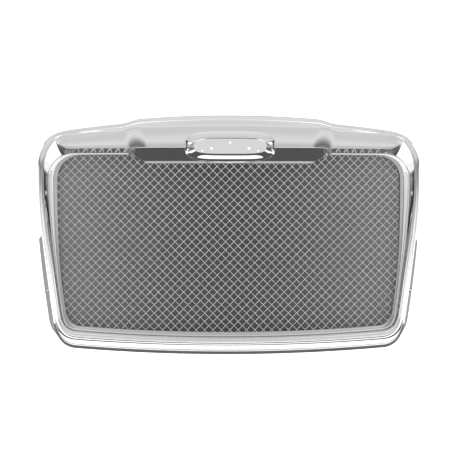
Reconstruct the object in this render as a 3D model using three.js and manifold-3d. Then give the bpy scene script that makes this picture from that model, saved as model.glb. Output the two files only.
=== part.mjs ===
// Front grille of a heavy truck: a chromed moulded surround with a shouldered top bar, a badge holder let into
// that bar, a bowed panel of square-woven wire in a channel frame, and a fine insect screen clipped in behind it.
// Six steel brackets on the rear rim bolt the whole grille to the hood.
// Units are millimetres. +Z is up and -Y faces forward. The origin is the centre of the rear mounting plane, so
// "fore" below means distance in front of that plane: y = -fore. The grille is the same on both sides of x = 0.
import * as THREE from "three";
import { mergeVertices } from "three/addons/utils/BufferGeometryUtils.js";
import Module from "manifold-3d";

const wasm = await Module();
wasm.setup();

// ---------- Driving dimensions ----------
const WIDTH = 1150; // over the side flanks
const HEIGHT = 705; // top of the raised centre to the bottom edge
const CROWN_FORE = 150; // foremost point of the surround
const BOW = 50; // how far the sides fall back from the centre
const LEAN = 78; // how strongly the front falls back towards the top
const SIDE_TAPER = 40; // each side comes in by this much towards the bottom
const TOP_ARCH = 35; // drop of the top edge from the centre to the corners
const BOTTOM_ARCH = 16.5; // rise of the bottom edge from the centre to the corners
const WALL = 3; // moulded wall of the surround
const RIM_FORE = 20; // rear rim of the surround
const RIM_FLANGE = 20; // width of the inward flange on that rim
const BLOCK_RAISE = 14; // the centre of the top bar stands this far proud
const CENTRE_SHARE = 0.55; // share of the half top bar that belongs to the raised centre
const SHOULDER_SHARE = 0.12; // share of it taken by the slope of the shoulder

const PANEL_FORE = 100; // front of the ledge that the wire panel rests against, at the origin's height
const PANEL_TILT = 0.035; // fore lost for each millimetre up
const WIRE = 3; // width of a wire
const WIRE_DEPTH = 3; // depth of one layer of wires
const WIRE_PITCH = 17.4; // wire to wire
const CHANNEL_SHEET = 1.5; // sheet of the channel frame
const CHANNEL_WIDTH = 16; // channel, inner edge to web
const WIRE_REACH = 7; // how far the wires run into the channel
const SCREEN_SHEET = 1; // insect screen
const SCREEN_FRAME_WIDTH = 20;
const SCREEN_FRAME_THICK = 5;

const GAP = 0.8; // clearance between layers that rest on each other
const FIT = 0.3; // clearance of a screw, stud or seated face

const CLIP_SHEET = 2;
const CLIP_WIDTH = 18;
const CLIP_LAP = 12; // how far a clip reaches over the screen frame
const POST_RADIUS = 7; // moulded posts that take the clip screws
const SCREW_SHANK = 2.2; // radius
const SCREW_HEAD = 5.2; // radius
const SCREW_LENGTH = 16;

const BRACKET_SHEET = 2.5;
const BRACKET_WIDTH = 56;
const BRACKET_REACH = 40; // foot on the hood side, riser to tip
const BRACKET_SCREW_SPACING = 34;
const HOOD_BOLT_HOLE = 4.5; // radius
const HOOD_NUT_ACROSS = 15; // across flats
const HOOD_NUT_HEIGHT = 7;

const PAD_HALF_WIDTH = 106;
const PAD_TOP = 25; // crown of the badge pad above its middle
const PAD_BOTTOM = 25; // edge of the pad below its middle
const PAD_SHEET = 3;
const PAD_DROP = 98; // middle of the pad below the top edge
const PAD_LEAN = 18; // degrees that the pad tips back
const BEZEL_BORDER = 25; // bezel beyond the pad at the ends
const BEZEL_ABOVE = 19; // bezel above the pad
const BEZEL_BELOW = 20.5; // bezel below the pad
const BEZEL_PROUD = 9; // front lip of the bezel before the top bar's face
const BADGE_RECESS = 4; // depth of the pad behind the lip
const BEZEL_LIP = 1.6; // how far the lip laps over the pad's edge
const BADGE_SEAT = 3; // the opening behind the pad is smaller than the pad by this much
const STUD_RADIUS = 3;
const STUD_LENGTH = 8; // beyond the push nut
const BOSS_RADIUS = 7; // moulded bosses that take the studs
const BOSS_LENGTH = 5; // behind the wall
const PUSH_NUT_RADIUS = 8;
const PUSH_NUT_SHEET = 1.5;

// Holes of the badge pad: [x, height above the pad's middle, radius].
const PAD_HOLES = [
  [0, 9.5, 3],
  [-54.5, -8, 3.6],
  [54.5, -8, 3.6],
  [-81, -14.5, 2.6],
  [81, -14.5, 2.6],
];

const ROUND = 8; // sides of small round pieces
const HALF_W = WIDTH / 2;
const HALF_H = HEIGHT / 2;

// ---------- Finishes ----------
const chrome = new THREE.MeshStandardMaterial({ color: 0xd8dadc, roughness: 0.08, metalness: 1 });
const brightWire = new THREE.MeshStandardMaterial({ color: 0xc4c6c8, roughness: 0.22, metalness: 1 });
const screenCloth = new THREE.MeshStandardMaterial({ color: 0x4a4c4e, roughness: 0.7, metalness: 0.1 });
const blackPlastic = new THREE.MeshStandardMaterial({ color: 0x1c1d1f, roughness: 0.55, metalness: 0 });
const springSteel = new THREE.MeshStandardMaterial({ color: 0x9da0a3, roughness: 0.35, metalness: 1 });
const zincSteel = new THREE.MeshStandardMaterial({ color: 0xb4b2a8, roughness: 0.4, metalness: 1 });

// ---------- Small helpers ----------
const mix = (a, b, t) => a + (b - a) * t;
const clamp01 = (t) => Math.min(1, Math.max(0, t));
const ease = (t) => clamp01(t) ** 2 * (3 - 2 * clamp01(t));

// Fore of the front-most surface of the surround, and of the ledge for the wire panel.
const crownFore = (x, z) => CROWN_FORE - BOW * (x / HALF_W) ** 2 - LEAN * ((z + HALF_H * 0.43) / HEIGHT) ** 2;
const panelFore = (x, z) => PANEL_FORE - BOW * (x / HALF_W) ** 2 - PANEL_TILT * z;

// ---------- Rails: closed lines that run round the grille ----------
// A rail is described for the right-hand half. Its top run goes from x = 0 to the corner, its side run comes down,
// and its bottom run goes back to x = 0. The rounded corners between the runs are cubic Bezier curves.
//   top         drop below the top edge at x = 0            arch      further drop at the end of the top run
//   shoulder    further drop beyond the raised centre       cornerX, cornerZ  where the top corner starts and ends
//   high, low   inset from the flank at the top and bottom of the side
//   bottom      height above the bottom edge                footX, footZ      where the bottom corner ends and starts
const RAILS = {
  rim: { top: 0, arch: TOP_ARCH, shoulder: 10, cornerX: 95, cornerZ: 152, high: 0, low: 0, bottom: 6, footX: 125, footZ: 102 },
  shoulder: { top: 14, arch: 31, shoulder: 9, cornerX: 96, cornerZ: 156, high: 12, low: 20, bottom: 0, footX: 125, footZ: 100 },
  crown: { top: 27, arch: 24, shoulder: 8, cornerX: 100, cornerZ: 165, high: 21, low: 30, bottom: 24, footX: 127, footZ: 108 },
  brow: { top: 36.5, arch: 18, shoulder: 6, cornerX: 105, cornerZ: 177, high: 28, low: 41, bottom: 49, footX: 130, footZ: 116 },
  chin: { top: 102, arch: 0, shoulder: 1.5, cornerX: 135, cornerZ: 177, high: 30, low: 43, bottom: 51.5, footX: 130, footZ: 117 },
  sill: { top: 142, arch: 0, shoulder: -25, cornerX: 122, cornerZ: 185, high: 42.6, low: 47, bottom: 52.6, footX: 130, footZ: 117.5 },
  reveal: { top: 142.8, arch: 0, shoulder: -25, cornerX: 120, cornerZ: 187, high: 43.6, low: 47.8, bottom: 53.4, footX: 130, footZ: 118 },
  ledge: { top: 145, arch: 0, shoulder: -25, cornerX: 130, cornerZ: 192, high: 55, low: 50, bottom: 55, footX: 131, footZ: 120 },
  panel: { top: 147.5, arch: 0, shoulder: -26, cornerX: 145, cornerZ: 192, high: 67, low: 57, bottom: 63.5, footX: 135, footZ: 127 },
};
const CORNER_PULL = 0.6; // handle length of the corner curves

// A rail moved outwards by a distance, as a concentric line.
const grown = (rail, by) => ({ ...rail, top: rail.top - by, high: rail.high - by, low: rail.low - by, bottom: rail.bottom - by });

// The flank line: straight at the top of the side, drawing in towards the bottom.
const TAPER_START = HALF_H - 202;
const TAPER_END = -HALF_H + 96;
const sideX = (z) => HALF_W - SIDE_TAPER * Math.max(0, (TAPER_START - z) / (TAPER_START - TAPER_END)) ** 1.6;

const topPoint = (r, t) => {
  const past = clamp01((t - CENTRE_SHARE) / SHOULDER_SHARE);
  return [t * (HALF_W - r.cornerX), HALF_H - r.top - r.arch * t * t - r.shoulder * past];
};
const sidePoint = (r, t) => {
  const z = mix(HALF_H - r.cornerZ, -HALF_H + r.footZ, t);
  return [sideX(z) - mix(r.high, r.low, ease(t * 1.25)), z];
};
const bottomPoint = (r, t) => {
  const x = (HALF_W - r.footX) * (1 - t);
  return [x, -HALF_H + r.bottom + BOTTOM_ARCH * (1 - t) ** 2];
};
const bezier = (a, b, c, d, t) => {
  const p = new THREE.CubicBezierCurve(...[a, b, c, d].map(([x, z]) => new THREE.Vector2(x, z))).getPoint(t);
  return [p.x, p.y];
};
const topCorner = (r, t) => {
  const [x0, z0] = topPoint(r, 1);
  const [x3, z3] = sidePoint(r, 0);
  const slope = (-2 * r.arch) / x0;
  const out = CORNER_PULL * (x3 - x0);
  return bezier([x0, z0], [x0 + out, z0 + out * slope], [x3, mix(z3, z0, CORNER_PULL)], [x3, z3], t);
};
const footCorner = (r, t) => {
  const [x0, z0] = sidePoint(r, 1);
  const [x1, z1] = sidePoint(r, 0.98);
  const [x3, z3] = bottomPoint(r, 0);
  const down = CORNER_PULL * (z0 - z3);
  const across = CORNER_PULL * (x0 - x3);
  const lean = (x1 - x0) / (z1 - z0);
  const rise = (2 * BOTTOM_ARCH) / x3;
  return bezier([x0, z0], [x0 - down * lean, z0 - down], [x3 + across, z3 + across * rise], [x3, z3], t);
};
const RUNS = { top: topPoint, corner: topCorner, side: sidePoint, foot: footCorner, bottom: bottomPoint };
const onRail = (r, s) => RUNS[s.run](r, s.t);

// The chin line runs level under the top bar's face, then curls up into the brow line in the corner.
const CHIN_GAP = 2; // distance kept between the two once they have met
const CHIN_MEETS = 0.35; // share of the corner where they meet
function onChin(s) {
  const [bx, bz] = onRail(RAILS.brow, s);
  const [cx, cz] = onRail(RAILS.chin, s);
  if (s.run !== "corner") return [cx, cz];
  const span = Math.hypot(cx - bx, cz - bz);
  const keep = mix(span, CHIN_GAP, Math.min(1, s.t / CHIN_MEETS) ** 4) / span;
  return [mix(bx, cx, keep), mix(bz, cz, keep)];
}

// Stations round the right-hand half, then mirrored, as one closed loop.
function loopStations({ centre, shoulder, outer, corner, side, foot, bottom }) {
  const half = [];
  const steps = (run, from, to, n) => {
    for (let i = 0; i < n; i++) half.push({ run, t: mix(from, to, i / n) });
  };
  steps("top", 0, CENTRE_SHARE, centre);
  steps("top", CENTRE_SHARE, CENTRE_SHARE + SHOULDER_SHARE, shoulder);
  steps("top", CENTRE_SHARE + SHOULDER_SHARE, 1, outer);
  steps("corner", 0, 1, corner);
  steps("side", 0, 1, side);
  steps("foot", 0, 1, foot);
  steps("bottom", 0, 1, bottom);
  half.push({ run: "bottom", t: 1 });
  const right = half.map((s) => ({ ...s, side: 1 }));
  const left = right.slice(1, -1).reverse().map((s) => ({ ...s, side: -1 }));
  return [...right, ...left];
}
const SHELL_STATIONS = loopStations({ centre: 6, shoulder: 2, outer: 4, corner: 8, side: 7, foot: 6, bottom: 6 });
const FRAME_STATIONS = loopStations({ centre: 5, shoulder: 1, outer: 3, corner: 6, side: 6, foot: 5, bottom: 6 });

// ---------- Meshes made of rows of points ----------
// Rows of equal length, closed along the rows and round each row; turned so that its faces point outwards.
function closedGrid(rows) {
  const n = rows[0].length;
  const position = new Float32Array(rows.flat().flat());
  const index = [];
  rows.forEach((_, i) => {
    const next = (i + 1) % rows.length;
    for (let j = 0; j < n; j++) {
      const k = (j + 1) % n;
      index.push(i * n + j, i * n + k, next * n + k, i * n + j, next * n + k, next * n + j);
    }
  });
  return outward(position, index);
}
function outward(position, index) {
  const p = (i) => new THREE.Vector3().fromArray(position, 3 * i);
  let volume = 0;
  for (let i = 0; i < index.length; i += 3) volume += p(index[i]).dot(p(index[i + 1]).cross(p(index[i + 2])));
  if (volume < 0) for (let i = 0; i < index.length; i += 3) [index[i], index[i + 1]] = [index[i + 1], index[i]];
  return new THREE.BufferGeometry().setAttribute("position", new THREE.BufferAttribute(position, 3)).setIndex(index);
}

// ---------- Joining and cutting ----------
function toSolid(geometry, matrix = new THREE.Matrix4()) {
  const bare = new THREE.BufferGeometry().setAttribute("position", geometry.getAttribute("position").clone());
  if (geometry.index) bare.setIndex(geometry.index);
  const merged = mergeVertices(bare.applyMatrix4(matrix), 1e-4);
  return new wasm.Manifold(
    new wasm.Mesh({
      numProp: 3,
      vertProperties: new Float32Array(merged.attributes.position.array),
      triVerts: new Uint32Array(merged.index.array),
    }),
  );
}
function toGeometry(solid) {
  const mesh = solid.getMesh();
  return new THREE.BufferGeometry()
    .setAttribute("position", new THREE.BufferAttribute(new Float32Array(mesh.vertProperties), 3))
    .setIndex(new THREE.BufferAttribute(new Uint32Array(mesh.triVerts), 1));
}
const joined = (solid, more) => more.reduce((a, b) => a.add(b), solid);
const cut = (solid, tools) => tools.reduce((a, b) => a.subtract(b), solid);

const grille = new THREE.Group();
function place(name, geometry, material, parent = grille) {
  const mesh = new THREE.Mesh(geometry, material);
  mesh.name = name;
  parent.add(mesh);
  return mesh;
}

// A round bar along Y, given by its axis, radius and the two fore values that it spans.
function foreBar(x, z, radius, foreA, foreB, sides = ROUND) {
  const length = Math.abs(foreA - foreB);
  const bar = new THREE.CylinderGeometry(radius, radius, length, sides);
  return toSolid(bar, new THREE.Matrix4().makeTranslation(x, -(foreA + foreB) / 2, z));
}
// A flat shape drawn in x and z, made solid between two fore values.
function forePlate(shape, foreA, foreB, matrix = new THREE.Matrix4(), curveSegments = 6) {
  const low = Math.min(foreA, foreB);
  const plate = new THREE.ExtrudeGeometry(shape, { depth: Math.abs(foreA - foreB), bevelEnabled: false, curveSegments });
  const stand = new THREE.Matrix4().makeRotationX(Math.PI / 2).setPosition(0, -low, 0);
  return toSolid(plate, matrix.clone().multiply(stand));
}

// ---------- Surround ----------
// Every station has a section: the visible line from the rim's flange over the crown to the ledge. It is drawn in
// [inset, fore], where inset runs from the rim line towards the panel line.
const DEPTHS = {
  shoulder: [55, 5, 9],
  crown: [26, 0, 0],
  brow: [14, 2.5, 2],
  chin: [1.5, 5, 5],
  sill: [24.6, 16, 16],
};
const LIFTS = { shoulder: 0.4, crown: 0.8, brow: 1, chin: 1, sill: 1 };

// How deep a rail lies behind the crown surface: its top, side and bottom values, eased through the corners.
function depthAt(name, s) {
  const [top, side, bottom] = DEPTHS[name];
  const raised = 1 - clamp01((s.t - CENTRE_SHARE) / SHOULDER_SHARE);
  if (s.run === "top") return top - LIFTS[name] * BLOCK_RAISE * raised;
  if (s.run === "corner") return mix(top, side, ease(s.t));
  if (s.run === "side") return side;
  return s.run === "foot" ? mix(side, bottom, ease(s.t)) : bottom;
}

function sectionAt(s) {
  const rim = onRail(RAILS.rim, s);
  const panel = onRail(RAILS.panel, s);
  const span = Math.hypot(panel[0] - rim[0], panel[1] - rim[1]);
  const inward = [(panel[0] - rim[0]) / span, (panel[1] - rim[1]) / span];
  const across = [-inward[1], inward[0]];
  const local = ([x, z], fore) => {
    const d = [x - rim[0], z - rim[1]];
    return { inset: d[0] * inward[0] + d[1] * inward[1], drift: d[0] * across[0] + d[1] * across[1], fore };
  };
  const onCrown = (name, p) => local(p, crownFore(...p) - depthAt(name, s));
  const onPanel = (p) => local(p, panelFore(...p));
  const line = [
    { ...local(rim, RIM_FORE), inset: RIM_FLANGE },
    local(rim, RIM_FORE),
    onCrown("shoulder", onRail(RAILS.shoulder, s)),
    onCrown("crown", onRail(RAILS.crown, s)),
    onCrown("brow", onRail(RAILS.brow, s)),
    onCrown("chin", onChin(s)),
    onCrown("sill", onRail(RAILS.sill, s)),
    onPanel(onRail(RAILS.reveal, s)),
    onPanel(onRail(RAILS.ledge, s)),
  ];
  const toRow = (p) => {
    const x = rim[0] + p.inset * inward[0] + p.drift * across[0];
    const z = rim[1] + p.inset * inward[1] + p.drift * across[1];
    return [s.side * x, -p.fore, z];
  };
  return { line, toRow, rim, inward };
}

// The section moved to its hidden side by a distance, with mitred corners.
function offsetLine(line, by) {
  const normals = line.slice(1).map((p, i) => {
    const [a, b] = [p.inset - line[i].inset, p.fore - line[i].fore];
    const length = Math.hypot(a, b);
    return [b / length, -a / length];
  });
  return line.map((p, i) => {
    const [n, m] = [normals[Math.max(0, i - 1)], normals[Math.min(normals.length - 1, i)]];
    const sum = [n[0] + m[0], n[1] + m[1]];
    const scale = (2 * by) / Math.max(0.5, sum[0] ** 2 + sum[1] ** 2);
    return { ...p, inset: p.inset + sum[0] * scale, fore: p.fore + sum[1] * scale };
  });
}

// Corners of a line cut by a short chord, so that the moulding has no knife edges.
const CORNER_TRIM = [0, 2.5, 5, 0, 0, 2.5, 0, 2.5, 0];
function trimmed(line) {
  const between = (p, q, t) => ({ inset: mix(p.inset, q.inset, t), drift: mix(p.drift, q.drift, t), fore: mix(p.fore, q.fore, t) });
  return line.flatMap((p, i) => {
    if (!CORNER_TRIM[i]) return [p];
    const share = (q) => Math.min(0.4, CORNER_TRIM[i] / Math.hypot(q.inset - p.inset, q.fore - p.fore));
    return [between(p, line[i - 1], share(line[i - 1])), between(p, line[i + 1], share(line[i + 1]))];
  });
}

// A closed ring swept through the stations: its section is drawn in [inset, fore] by two lines.
const sweep = (section) => closedGrid(SHELL_STATIONS.map((s) => section(s)));
const shellSkin = sweep((s) => {
  const { line, toRow } = sectionAt(s);
  return [...trimmed(line), ...trimmed(offsetLine(line, WALL)).reverse()].map(toRow);
});
// All the room behind the visible surface, once that surface has been moved to its hidden side by a distance.
const roomBehind = (by) =>
  toSolid(
    sweep((s) => {
      const { line, toRow } = sectionAt(s);
      const front = trimmed(offsetLine(line, by)).slice(1);
      return [...front, { ...front[front.length - 1], fore: -WALL }, { ...front[0], fore: -WALL }].map(toRow);
    }),
  );
const insideWall = roomBehind(WALL / 2);

// A frame on the wire panel: local X runs inwards over the panel, local Y points to the rear, square to the panel.
function panelFrame(x, z, inward, behind) {
  const step = 0.5;
  const slope = (dx, dz) => (panelFore(x + dx, z + dz) - panelFore(x - dx, z - dz)) / (2 * step);
  const normal = new THREE.Vector3(slope(step, 0), 1, slope(0, step)).normalize();
  const along = new THREE.Vector3(-inward[1], 0, inward[0]).cross(normal).cross(normal).negate().normalize();
  const across = new THREE.Vector3().crossVectors(normal, along).normalize();
  return new THREE.Matrix4().makeBasis(across, normal, along).setPosition(x, -(panelFore(x, z) - behind), z);
}
// A bar along the local Y of a frame, between two heights.
function barIn(frame, radius, from, to, sides = ROUND, at = [0, 0]) {
  const bar = new THREE.CylinderGeometry(radius, radius, Math.abs(to - from), sides);
  return toSolid(bar, frame.clone().multiply(new THREE.Matrix4().makeTranslation(at[0], (from + to) / 2, at[1])));
}
function blockIn(frame, size, centre) {
  const block = new THREE.BoxGeometry(...size);
  return toSolid(block, frame.clone().multiply(new THREE.Matrix4().makeTranslation(...centre)));
}
// A screw driven forwards from the frame's origin: its head lies behind, at positive local Y.
function screwIn(frame, length, at = [0, 0]) {
  const head = barIn(frame, SCREW_HEAD, FIT, FIT + 3, ROUND, at);
  return toGeometry(head.add(barIn(frame, SCREW_SHANK, -length, FIT + 1, ROUND, at)));
}

// ---------- Layers behind the ledge, measured back from its front ----------
const CHANNEL_FRONT = WALL + GAP;
const CHANNEL_THICK = 2 * CHANNEL_SHEET + 2 * WIRE_DEPTH + 3 * GAP;
const FRONT_WIRES = CHANNEL_FRONT + CHANNEL_SHEET + GAP;
const REAR_WIRES = FRONT_WIRES + WIRE_DEPTH + GAP;
const SCREEN_FRONT = CHANNEL_FRONT + CHANNEL_THICK + GAP;
const SCREEN_FRAME_FRONT = SCREEN_FRONT + SCREEN_SHEET + GAP;
const CLIP_FRONT = SCREEN_FRAME_FRONT + SCREEN_FRAME_THICK + FIT;

// A point at a distance outside the panel's opening, and at a depth behind the front of the ledge.
const panelRing = (by) => {
  const rail = grown(RAILS.panel, by);
  return FRAME_STATIONS.map((s) => {
    const [x, z] = onRail(rail, s);
    return [s.side * x, z];
  });
};
const onPanel = ([x, z], behind) => [x, -(panelFore(x, z) - behind), z];
// A ring round the panel with a section drawn in [outwards, behind].
const panelBand = (section) => {
  const rings = section.map(([by]) => panelRing(by));
  return closedGrid(rings[0].map((_, i) => section.map(([, behind], j) => onPanel(rings[j][i], behind))));
};

// Where a sloping or upright line crosses the ring: the parameter values along the line, in order.
function crossings(ring, from, direction) {
  const found = [];
  ring.forEach(([ax, az], i) => {
    const [bx, bz] = ring[(i + 1) % ring.length];
    const side = ([px, pz]) => (px - from[0]) * direction[1] - (pz - from[1]) * direction[0];
    const [a, b] = [side([ax, az]), side([bx, bz])];
    if (a >= 0 === b >= 0) return;
    const t = a / (a - b);
    found.push((mix(ax, bx, t) - from[0]) * direction[0] + (mix(az, bz, t) - from[1]) * direction[1]);
  });
  return found.sort((a, b) => a - b);
}

// ---------- Wires ----------
// One layer is a long flat strip that crosses the panel, turns inside the channel and comes back, wire by wire.
const KNOT = WIDTH / 10; // a long wire bends at every multiple of this x
function wireLine(ring, offset, direction) {
  const from = [-direction[1] * offset, direction[0] * offset];
  const ends = crossings(ring, from, direction);
  if (ends.length < 2 || ends[ends.length - 1] - ends[0] < 2 * WIRE_PITCH) return null;
  const at = (t) => [from[0] + t * direction[0], from[1] + t * direction[1]];
  const [a, b] = [at(ends[0]), at(ends[ends.length - 1])];
  const knots = [];
  for (let k = Math.ceil(-HALF_W / KNOT) * KNOT; k < HALF_W; k += KNOT) {
    const t = (k - a[0]) / (b[0] - a[0]);
    if (t > 0.04 && t < 0.96) knots.push([k, mix(a[1], b[1], t), t]);
  }
  knots.sort((p, q) => p[2] - q[2]);
  return [a, ...knots.map(([x, z]) => [x, z]), b];
}
function wireLayer(direction, behind) {
  const ring = panelRing(WIRE_REACH);
  const path = [];
  const most = Math.ceil((HALF_W + HALF_H) / WIRE_PITCH);
  let flip = false;
  for (let i = -most; i <= most; i++) {
    const wire = wireLine(ring, (i + 0.5) * WIRE_PITCH, direction);
    if (!wire) continue;
    path.push(...(flip ? wire.reverse() : wire));
    flip = !flip;
  }
  return stripAlong(path, behind);
}
// A flat strip along a path over the panel, with mitred turns and closed ends.
function stripAlong(path, behind) {
  const unit = (a, b) => {
    const length = Math.hypot(b[0] - a[0], b[1] - a[1]);
    return [(b[0] - a[0]) / length, (b[1] - a[1]) / length];
  };
  const position = [];
  path.forEach((p, i) => {
    const u = i > 0 ? unit(path[i - 1], p) : unit(p, path[1]);
    const v = i < path.length - 1 ? unit(p, path[i + 1]) : u;
    const [sx, sz] = [-(u[1] + v[1]), u[0] + v[0]];
    const scale = WIRE / Math.max(0.45, sx * sx + sz * sz);
    const edge = (way) => [p[0] + way * sx * scale, p[1] + way * sz * scale];
    const corners = [[edge(1), behind], [edge(-1), behind], [edge(-1), behind + WIRE_DEPTH], [edge(1), behind + WIRE_DEPTH]];
    corners.forEach(([q, depth]) => position.push(...onPanel(q, depth)));
  });
  const index = [0, 1, 2, 0, 2, 3];
  for (let i = 0; i + 1 < path.length; i++) {
    for (let j = 0; j < 4; j++) {
      const [a, b, c, d] = [4 * i + j, 4 * i + ((j + 1) % 4), 4 * i + 4 + ((j + 1) % 4), 4 * i + 4 + j];
      index.push(a, c, b, a, d, c);
    }
  }
  const e = 4 * (path.length - 1);
  index.push(e, e + 2, e + 1, e, e + 3, e + 2);
  return outward(new Float32Array(position), index);
}

// ---------- Insect screen ----------
function screenSheet(ring, behind) {
  const widest = Math.max(...ring.map(([x]) => x)) - 1;
  const columns = [-widest, widest];
  for (let k = Math.ceil(-widest / KNOT) * KNOT; k < widest; k += KNOT) columns.push(k);
  [0.94, 0.985].forEach((t) => columns.push(-widest * t, widest * t));
  columns.sort((a, b) => a - b);
  const position = [];
  columns.forEach((x) => {
    const ends = crossings(ring, [x, 0], [0, 1]);
    const [low, high] = [ends[0], ends[ends.length - 1]];
    [[high, 0], [low, 0], [low, SCREEN_SHEET], [high, SCREEN_SHEET]].forEach(([z, more]) => {
      position.push(...onPanel([x, z], behind + more));
    });
  });
  const index = [0, 1, 2, 0, 2, 3];
  for (let i = 0; i + 1 < columns.length; i++) {
    for (let j = 0; j < 4; j++) {
      const [a, b, c, d] = [4 * i + j, 4 * i + ((j + 1) % 4), 4 * i + 4 + ((j + 1) % 4), 4 * i + 4 + j];
      index.push(a, c, b, a, d, c);
    }
  }
  const e = 4 * (columns.length - 1);
  index.push(e, e + 2, e + 1, e, e + 3, e + 2);
  return outward(new Float32Array(position), index);
}

// ---------- Badge holder ----------
const PAD_Z = HALF_H - PAD_DROP;
const lipFore = (z) => topFace(0, HALF_H - RAILS.chin.top) + BEZEL_PROUD - Math.tan((PAD_LEAN * Math.PI) / 180) * (z - PAD_Z);
// Fore of the top bar's face at the centre, between the brow line and the chin line.
function topFace(x, z) {
  const at = (name) => {
    const zed = HALF_H - RAILS[name].top;
    return [zed, crownFore(x, zed) - depthAt(name, { run: "top", t: 0 })];
  };
  const [[z0, f0], [z1, f1]] = [at("brow"), at("chin")];
  return mix(f0, f1, (z - z0) / (z1 - z0));
}
// The pad's outline at an angle, grown by a share of the bezel's border and by a distance.
function badgeOutline(angle, share, more = 0) {
  const [c, s] = [Math.cos(angle), Math.sin(angle)];
  const a = PAD_HALF_WIDTH + BEZEL_BORDER * share + more;
  const b = (s > 0 ? PAD_TOP + BEZEL_ABOVE * share : PAD_BOTTOM + BEZEL_BELOW * share) + more;
  const power = s > 0 ? 0.62 : 0.5;
  return [a * Math.sign(c) * Math.abs(c) ** 0.5, PAD_Z + b * Math.sign(s) * Math.abs(s) ** power];
}
const BADGE_STEPS = 32;
const badgeAngles = Array.from({ length: BADGE_STEPS }, (_, i) => ((i + 0.5) / BADGE_STEPS) * 2 * Math.PI);
const badgeLoop = (share, more) => badgeAngles.map((angle) => badgeOutline(angle, share, more));
// A solid between two distances behind the lip plane, with the pad's outline.
function badgeBlock(more, near, far) {
  const corners = badgeLoop(0, more).map(([x, z]) => new THREE.Vector2(x, z));
  const plate = new THREE.ExtrudeGeometry(new THREE.Shape(corners), { depth: far - near, bevelEnabled: false });
  plate.applyMatrix4(new THREE.Matrix4().makeRotationX(Math.PI / 2));
  const p = plate.getAttribute("position");
  for (let i = 0; i < p.count; i++) p.setY(i, p.getY(i) + far - lipFore(p.getZ(i)));
  return toSolid(plate);
}
// The bezel's section: share of the border, distance, distance behind the lip plane.
const DEEP = 48;
const BEZEL_SECTION = [
  [1, 0, DEEP],
  [1, 0, 7],
  [0.85, 0, 2],
  [0.5, 0, 0],
  [0.15, 0, 1],
  [0, -BEZEL_LIP, 3],
  [0, -BEZEL_LIP, BADGE_RECESS],
  [0, FIT, BADGE_RECESS],
  [0, FIT, 30],
  [0, FIT + 2.5, 30],
  [0, FIT + 2.5, 8.5],
  [0.5, 0, 4],
  [1, -2.5, 9],
  [1, -2.5, DEEP],
];
const bezelSkin = closedGrid(
  badgeAngles.map((angle) =>
    BEZEL_SECTION.map(([share, more, behind]) => {
      const [x, z] = badgeOutline(angle, share, more);
      return [x, -(lipFore(z) - behind), z];
    }),
  ),
);
const STUD_SPOTS = [0.06, 0.32, 0.68, 0.94].map((t) => badgeOutline(Math.PI * t, 0.5));
const bossEnd = (x, z) => topFace(x, z) - BOW * (x / HALF_W) ** 2 - WALL - BOSS_LENGTH;

place(
  "badge_bezel",
  toGeometry(
    joined(
      cut(toSolid(bezelSkin), [roomBehind(-FIT)]),
      STUD_SPOTS.map(([x, z]) => foreBar(x, z, STUD_RADIUS, lipFore(z) - 2.5, bossEnd(x, z) - PUSH_NUT_SHEET - STUD_LENGTH)),
    ),
  ),
  chrome,
);
const padHoles = PAD_HOLES.map(([x, up, radius]) => foreBar(x, PAD_Z + up, radius, 90, 200, 12));
place("badge_pad", toGeometry(cut(badgeBlock(0, BADGE_RECESS + FIT, BADGE_RECESS + FIT + PAD_SHEET), padHoles)), chrome);
STUD_SPOTS.forEach(([x, z], i) => {
  const front = bossEnd(x, z) - FIT;
  const nut = foreBar(x, z, PUSH_NUT_RADIUS, front, front - PUSH_NUT_SHEET);
  const hole = foreBar(x, z, STUD_RADIUS + FIT, front + 1, front - PUSH_NUT_SHEET - 1);
  place(`badge_push_nut_${i + 1}`, toGeometry(nut.subtract(hole)), springSteel);
});

// ---------- Retainer clips ----------
// Places round the panel: three along the top, two down each side, three along the bottom.
const CLIP_SPOTS = [
  { run: "top", t: 0, side: 1 },
  { run: "top", t: 0.84, side: 1 },
  { run: "top", t: 0.84, side: -1 },
  { run: "side", t: 0.12, side: 1 },
  { run: "side", t: 0.12, side: -1 },
  { run: "side", t: 0.85, side: 1 },
  { run: "side", t: 0.85, side: -1 },
  { run: "bottom", t: 0.2, side: 1 },
  { run: "bottom", t: 0.2, side: -1 },
  { run: "bottom", t: 1, side: 1 },
];
function clipFrame(spot) {
  const edge = onRail(grown(RAILS.panel, CHANNEL_WIDTH), spot);
  const post = onRail(grown(RAILS.panel, CHANNEL_WIDTH + POST_RADIUS + 2), spot);
  const length = Math.hypot(edge[0] - post[0], edge[1] - post[1]);
  const inward = [(spot.side * (edge[0] - post[0])) / length, (edge[1] - post[1]) / length];
  return panelFrame(spot.side * post[0], post[1], inward, CLIP_FRONT);
}
const clipFrames = CLIP_SPOTS.map(clipFrame);
const CLIP_LENGTH = POST_RADIUS + POST_RADIUS + 2 + CLIP_LAP;
clipFrames.forEach((frame, i) => {
  const label = String(i + 1).padStart(2, "0");
  const strap = blockIn(frame, [CLIP_LENGTH, CLIP_SHEET, CLIP_WIDTH], [CLIP_LENGTH / 2 - POST_RADIUS, CLIP_SHEET / 2, 0]);
  const hole = barIn(frame, SCREW_SHANK + FIT, -1, CLIP_SHEET + 1);
  place(`retainer_clip_${label}`, toGeometry(strap.subtract(hole)), springSteel);
  const seat = frame.clone().multiply(new THREE.Matrix4().makeTranslation(0, CLIP_SHEET, 0));
  place(`clip_screw_${label}`, screwIn(seat, SCREW_LENGTH), zincSteel);
});
const posts = clipFrames.map((frame) => barIn(frame, POST_RADIUS, -140, -FIT).intersect(insideWall));
const postHoles = clipFrames.map((frame) => barIn(frame, SCREW_SHANK + FIT, -SCREW_LENGTH - 2, 1));

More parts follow.
